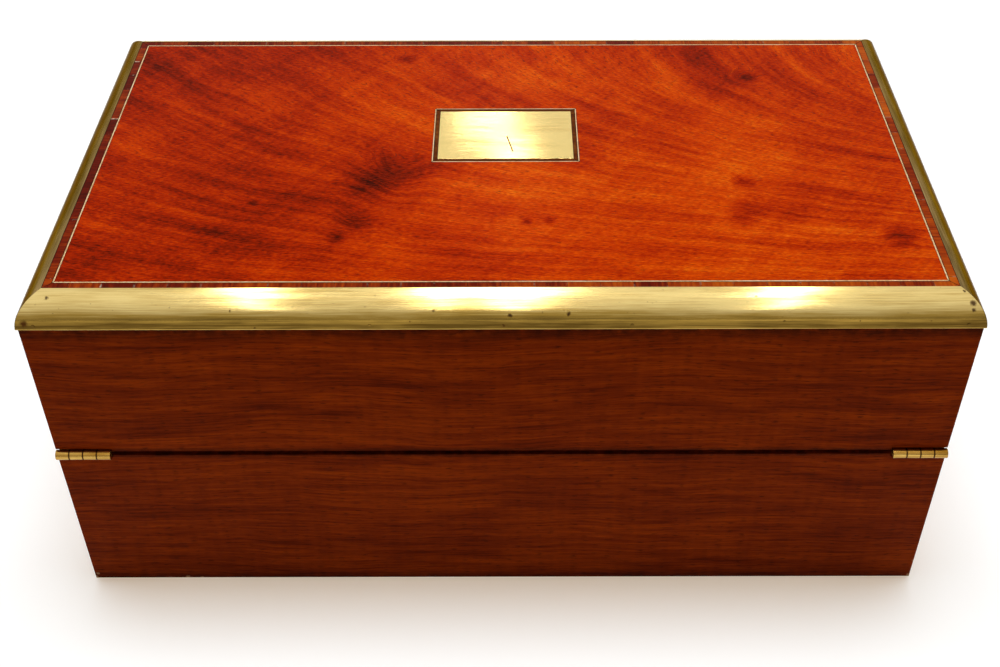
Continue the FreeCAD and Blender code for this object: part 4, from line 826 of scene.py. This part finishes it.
def flat_sheet(name, half, lines):
    """A plane cut along straight lines at given distances from its middle, in millimetres."""
    deselect()
    bpy.ops.mesh.primitive_plane_add(size=1)
    bpy.context.object.scale = (2*half[0], 2*half[1], 1)
    piece = added(name)
    for axis, distances in enumerate(lines):
        for distance in distances:
            for sign in (-1, 1):
                pick(piece, "FACE", lambda corners: True)
                point, normal = [0, 0, 0], [0, 0, 0]
                point[axis], normal[axis] = sign*distance*MM, 1
                bpy.ops.mesh.bisect(plane_co=point, plane_no=normal)
                close()
    return piece


def in_ring(middle, outer, inner):
    """Whether a point lies between two rectangles given by half sizes in millimetres."""
    x, y = abs(middle.x)/MM, abs(middle.y)/MM
    return x < outer[0] and y < outer[1] and not (x < inner[0] and y < inner[1])


def writing_leather(half, length, end_places):
    """Leather skin with a gold-tooled border: two pressed lines in gold leaf with a band of lozenges between."""
    node = half + "_flap_leather"
    reach = (181.4, length/2)
    band = (176, end_places)
    lines = [[reach[i] - 0.6, band[i] + 1.6, band[i] + 1, band[i], band[i] - TOOL, band[i] - TOOL - 1,
              band[i] - TOOL - 1.6] for i in range(2)]
    piece = flat_sheet(node + "_skin", [r*MM for r in reach], lines)
    flat = piece.data.uv_layers.active or piece.data.uv_layers.new()
    for loop in piece.data.loops:
        corner = piece.data.vertices[loop.vertex_index].co
        flat.data[loop.index].uv = (corner.x/MM, corner.y/MM)
    dress(piece, "leather", "tooled", "gilt")
    rings = [(2, [w + 1.6 for w in band], [w + 1 for w in band]), (1, band, [w - TOOL for w in band]),
             (2, [w - TOOL - 1 for w in band], [w - TOOL - 1.6 for w in band])]
    for slot, outer, inner in rings:
        for face in piece.data.polygons:
            if in_ring(face.center, outer, inner):
                face.material_index = slot
    for slot, outer, inner in rings:
        pick(piece, "FACE", lambda corners: in_ring(sum(corners, Vector())/len(corners), outer, inner))
        bpy.ops.mesh.inset(thickness=0.08*MM, depth=-0.07*MM, use_boundary=True)
        close()
    for vertex in piece.data.vertices:
        if abs(vertex.co.x) > (reach[0] - 0.3)*MM or abs(vertex.co.y) > (reach[1] - 0.3)*MM:
            vertex.co.z -= 0.3*MM
    apply_modifier(piece, "SOLIDIFY", thickness=0.65*MM, offset=-1)
    middle = 35.3*MM + reach[1]*MM
    side = Matrix.Translation((0, middle, -RIM)) if half == "base" else \
        Matrix.Translation((0, middle, RIM)) @ UPSIDE_DOWN
    carried(piece, FROM_SLOPE @ side)
    smooth(piece, 50)
    stands_for(piece, node)
    return piece


def lifting_tab(half, end):
    """A leather tab with a rounded tongue, stitched down along both sides."""
    node = half + "_flap_tab"
    piece = slab(node + "_tongue", (-8*MM, -7.5*MM, 0), (8*MM, 7.5*MM, 0.6*MM))
    round_edges(piece, 5*MM, lambda ends: all(p.y < 0 for p in ends) and ends[0].x == ends[1].x and
                ends[0].y == ends[1].y, 8)
    rounded(piece, 0.15, angle=60)
    dress(piece, "leather")
    stitches = []
    for x in (-6.6, 6.6):
        for number in range(6):
            stitch = rod("stitch", 0.28*MM, 1.3*MM, (x*MM, (-1.2 + 1.5*number)*MM, 0.52*MM), "Y", 10)
            stitches.append(dress(smooth(stitch, 60), "thread"))
    piece = joined(node + "_tongue", [piece] + stitches)
    middle = (end - 7.5)*MM
    side = Matrix.Translation((0, middle, -RIM)) if half == "base" else \
        Matrix.Translation((0, middle, RIM)) @ UPSIDE_DOWN
    carried(piece, FROM_SLOPE @ side)
    stands_for(piece, node)
    return piece


def baize():
    """Woollen cloth glued under the box."""
    half = (HALF_WIDTH - WALL, HALF_DEPTH - WALL)
    piece = flat_sheet("base_baize_cloth", half, [[120, 60], [60, 30]])
    apply_modifier(piece, "SOLIDIFY", thickness=0.8*MM, offset=1)
    rounded(piece, 0.2)
    dress(piece, "baize")
    stands_for(piece, "base_baize")
    return piece


# Turned brass caps of the inkwells

def inkwell_cap(side):
    """The cap's rim and dome get the soft edges of turned brass."""
    node = "inkwell_cap_" + side
    piece = copy_of(node + "_turned", node)
    low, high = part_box(node)
    middle = Vector(((low[0] + high[0])/2, high[1] - 17.4*MM, 0))
    rims = [(14.6*MM, low[2] + 4*MM, 0.7*MM), (7.3*MM, low[2] + 6.8*MM, 1.2*MM)]
    for radius, height, width in rims:
        round_edges(piece, width, lambda ends: all(
            abs(math.hypot(p.x - middle.x, p.y - middle.y) - radius) < 0.1*MM and abs(p.z - height) < 0.2*MM
            for p in ends), 5)
    rounded(piece, 0.12)
    dress(piece, "brass")
    return stands_for(piece, node)


inkwell_cap("left")
inkwell_cap("right")


# Hard pieces that keep their shape and get worked edges: node, edge rounding in millimetres, finish

WORKED = [
    ("base_bottom", 0.3, "inner_x"), ("base_flap_rail", 0.3, "side_x"), ("lid_flap_rail", 0.3, "side_x"),
    ("base_flap_ledges", 0.4, "inner_y"), ("lid_flap_ledges", 0.4, "inner_y"),
    ("base_flap_panel", 0.3, "side_x"), ("lid_flap_panel", 0.3, "side_x"), ("pen_divider", 0.5, "inner_x"),
    ("inkwell_dividers", 0.5, "inner_y"), ("pen_tray", 0.5, "inner_x"), ("pen_tray_bearers", 0.3, "inner_y"),
    ("inkwell_blocks", 0.3, "inner_x"), ("lid_top_board", 0.15, "inner_x"),
    ("base_hinge_leaf_left", 0.15, "hinge"), ("base_hinge_leaf_right", 0.15, "hinge"),
    ("lid_hinge_leaf_left", 0.15, "hinge"), ("lid_hinge_leaf_right", 0.15, "hinge"),
    ("main_hinge_pins", 0.15, "brass"), ("lock_case", 0.1, "brass"), ("lock_plate", 0.15, "brass"),
    ("link_plate", 0.15, "brass"), ("key_escutcheon", 0.15, "brass"), ("lock_bolt", 0.15, "steel"),
    ("key", 0.15, "steel"), ("base_flap_hinge_fixed_leaves", 0.08, "brass"),
    ("base_flap_hinge_moving_leaves", 0.08, "brass"), ("lid_flap_hinge_fixed_leaves", 0.08, "brass"),
    ("lid_flap_hinge_moving_leaves", 0.08, "brass"), ("inkwell_left", 0.5, "glass"),
    ("inkwell_right", 0.5, "glass"), ("inkwell_collars", 0.1, "brass"), ("brass_edge_pins", 0.1, "edge_x"),
]
for node, width, finish in WORKED:
    stands_for(dress(rounded(copy_of(node + "_worked", node), width), finish), node)

writing_leather("base", 121.365, 56)
writing_leather("lid", 176.23, 84)
lifting_tab("base", 167.665)
lifting_tab("lid", 222.53)
baize()


# Floor, world and lamps

# Light that the floor seems to give off where it is seen or mirrored: white where the lamps reach, warm in shadow
FLOOR_GLOW = (0.35, 0.24, 0.12)
WORLD_LIGHT = 0.15
# What metal mirrors: a soft light overhead, whose level falls with the angle from it, in radians
SOFT_LIGHT = (0, -0.14, 0.99)
MIRRORED = (0.0, 1.5, 1.1, 0.52)


def make_floor():
    """A pale floor that keeps the shadow and is white where the light is whole."""
    deselect()
    bpy.ops.mesh.primitive_plane_add(size=14, location=(0, 0, 0))
    floor = bpy.context.object
    floor.name = "floor"
    material, add = new_material("pale_floor")
    path = add("LightPath").node.outputs
    seen = add("Math", path["Is Glossy Ray"], path["Is Transmission Ray"], operation="MAXIMUM")
    seen = add("Math", seen, path["Is Camera Ray"], operation="MAXIMUM")
    glow = add("Emission", (*FLOOR_GLOW, 1), seen)
    add("OutputMaterial", add("AddShader", add("BsdfDiffuse", paint("#dceaf7")), glow))
    floor.data.materials.append(material)


def make_world():
    """White for what is seen, an even light, and for what is mirrored a soft light overhead."""
    world = bpy.data.worlds.new("studio")
    bpy.context.scene.world = world
    world.use_nodes = True
    world.node_tree.nodes.clear()
    add = partial(add_node, world.node_tree)
    toward = add("TexCoord").node.outputs["Generated"]
    path = add("LightPath").node.outputs
    overhead = add("VectorMath", toward, SOFT_LIGHT, operation="DOT_PRODUCT")
    mirrored = add("MapRange", add("Math", overhead, operation="ARCCOSINE"), *MIRRORED)
    level = add("Mix", path["Is Glossy Ray"], WORLD_LIGHT, mirrored)
    seen = add("Math", path["Is Camera Ray"], path["Is Transmission Ray"], operation="MAXIMUM")
    level = add("Mix", seen, level, 1.0)
    add("OutputWorld", add("Background", (1, 1, 1, 1), level))


def lamp(name, kind, spot, aim, power, mirrored=True, lights=True, colour="#ffffff", **settings):
    """A lamp that looks from a spot at a point."""
    data = bpy.data.lights.new(name, kind)
    data.energy = power
    data.color = paint(colour)[:3]
    for key, value in settings.items():
        setattr(data, key, value)
    piece = bpy.data.objects.new(name, data)
    bpy.context.collection.objects.link(piece)
    piece.location = spot
    piece.rotation_euler = (Vector(spot) - Vector(aim)).to_track_quat("Z", "Y").to_euler()
    piece.visible_glossy = mirrored
    piece.visible_diffuse = lights
    piece.visible_camera = False
    return piece


make_floor()
make_world()
for side, x in (("left", -0.29), ("right", 0.29)):
    lamp(f"overhead_{side}", "SUN", (x, 0.27, 2), (0, 0, 0), 1.4, mirrored=False, angle=math.radians(27))
lamp("front_fill", "SUN", (0, -2, 1.4), (0, 0, 0), 0.1, mirrored=False, angle=math.radians(60))
# Lamps that only the brass and the polish mirror: four glows on the near moulding, one soft on the plaque
for number, (x, width) in enumerate(((-0.107, 0.08), (-0.027, 0.08), (0.003, 0.16), (0.118, 0.08))):
    for part, share, tilt in (("top", 1, math.radians(-10)), ("tail", 0.45, math.radians(30))):
        spot = (3.7*x, -0.11 - 1.5*math.sin(tilt), 0.17 + 1.5*math.cos(tilt))
        spark = lamp(f"spark_{part}_{number}", "AREA", spot, (x, -0.11, 0.17), 26*width*share, lights=False,
                     shape="ELLIPSE", size=width*share, size_y=1.7)
        spark.rotation_euler = (tilt, 0, 0)
for name, spot, power, width, height in (
        ("plaque_soft", (0.01, 1.3, 1.0), 0.06, 0.4, 0.32), ("plaque_far_glow", (-0.03, 1.3, 0.96), 0.05, 0.1, 0.04),
        ("plaque_near_glow", (0.008, 1.3, 1.045), 0.035, 0.08, 0.04), ("streak", (0.01, 1.3, 1.22), 0.1, 0.03, 0.3)):
    lamp(name, "AREA", spot, (0, 0.02, 0.178), power, lights=False, shape="ELLIPSE", size=width, size_y=height)
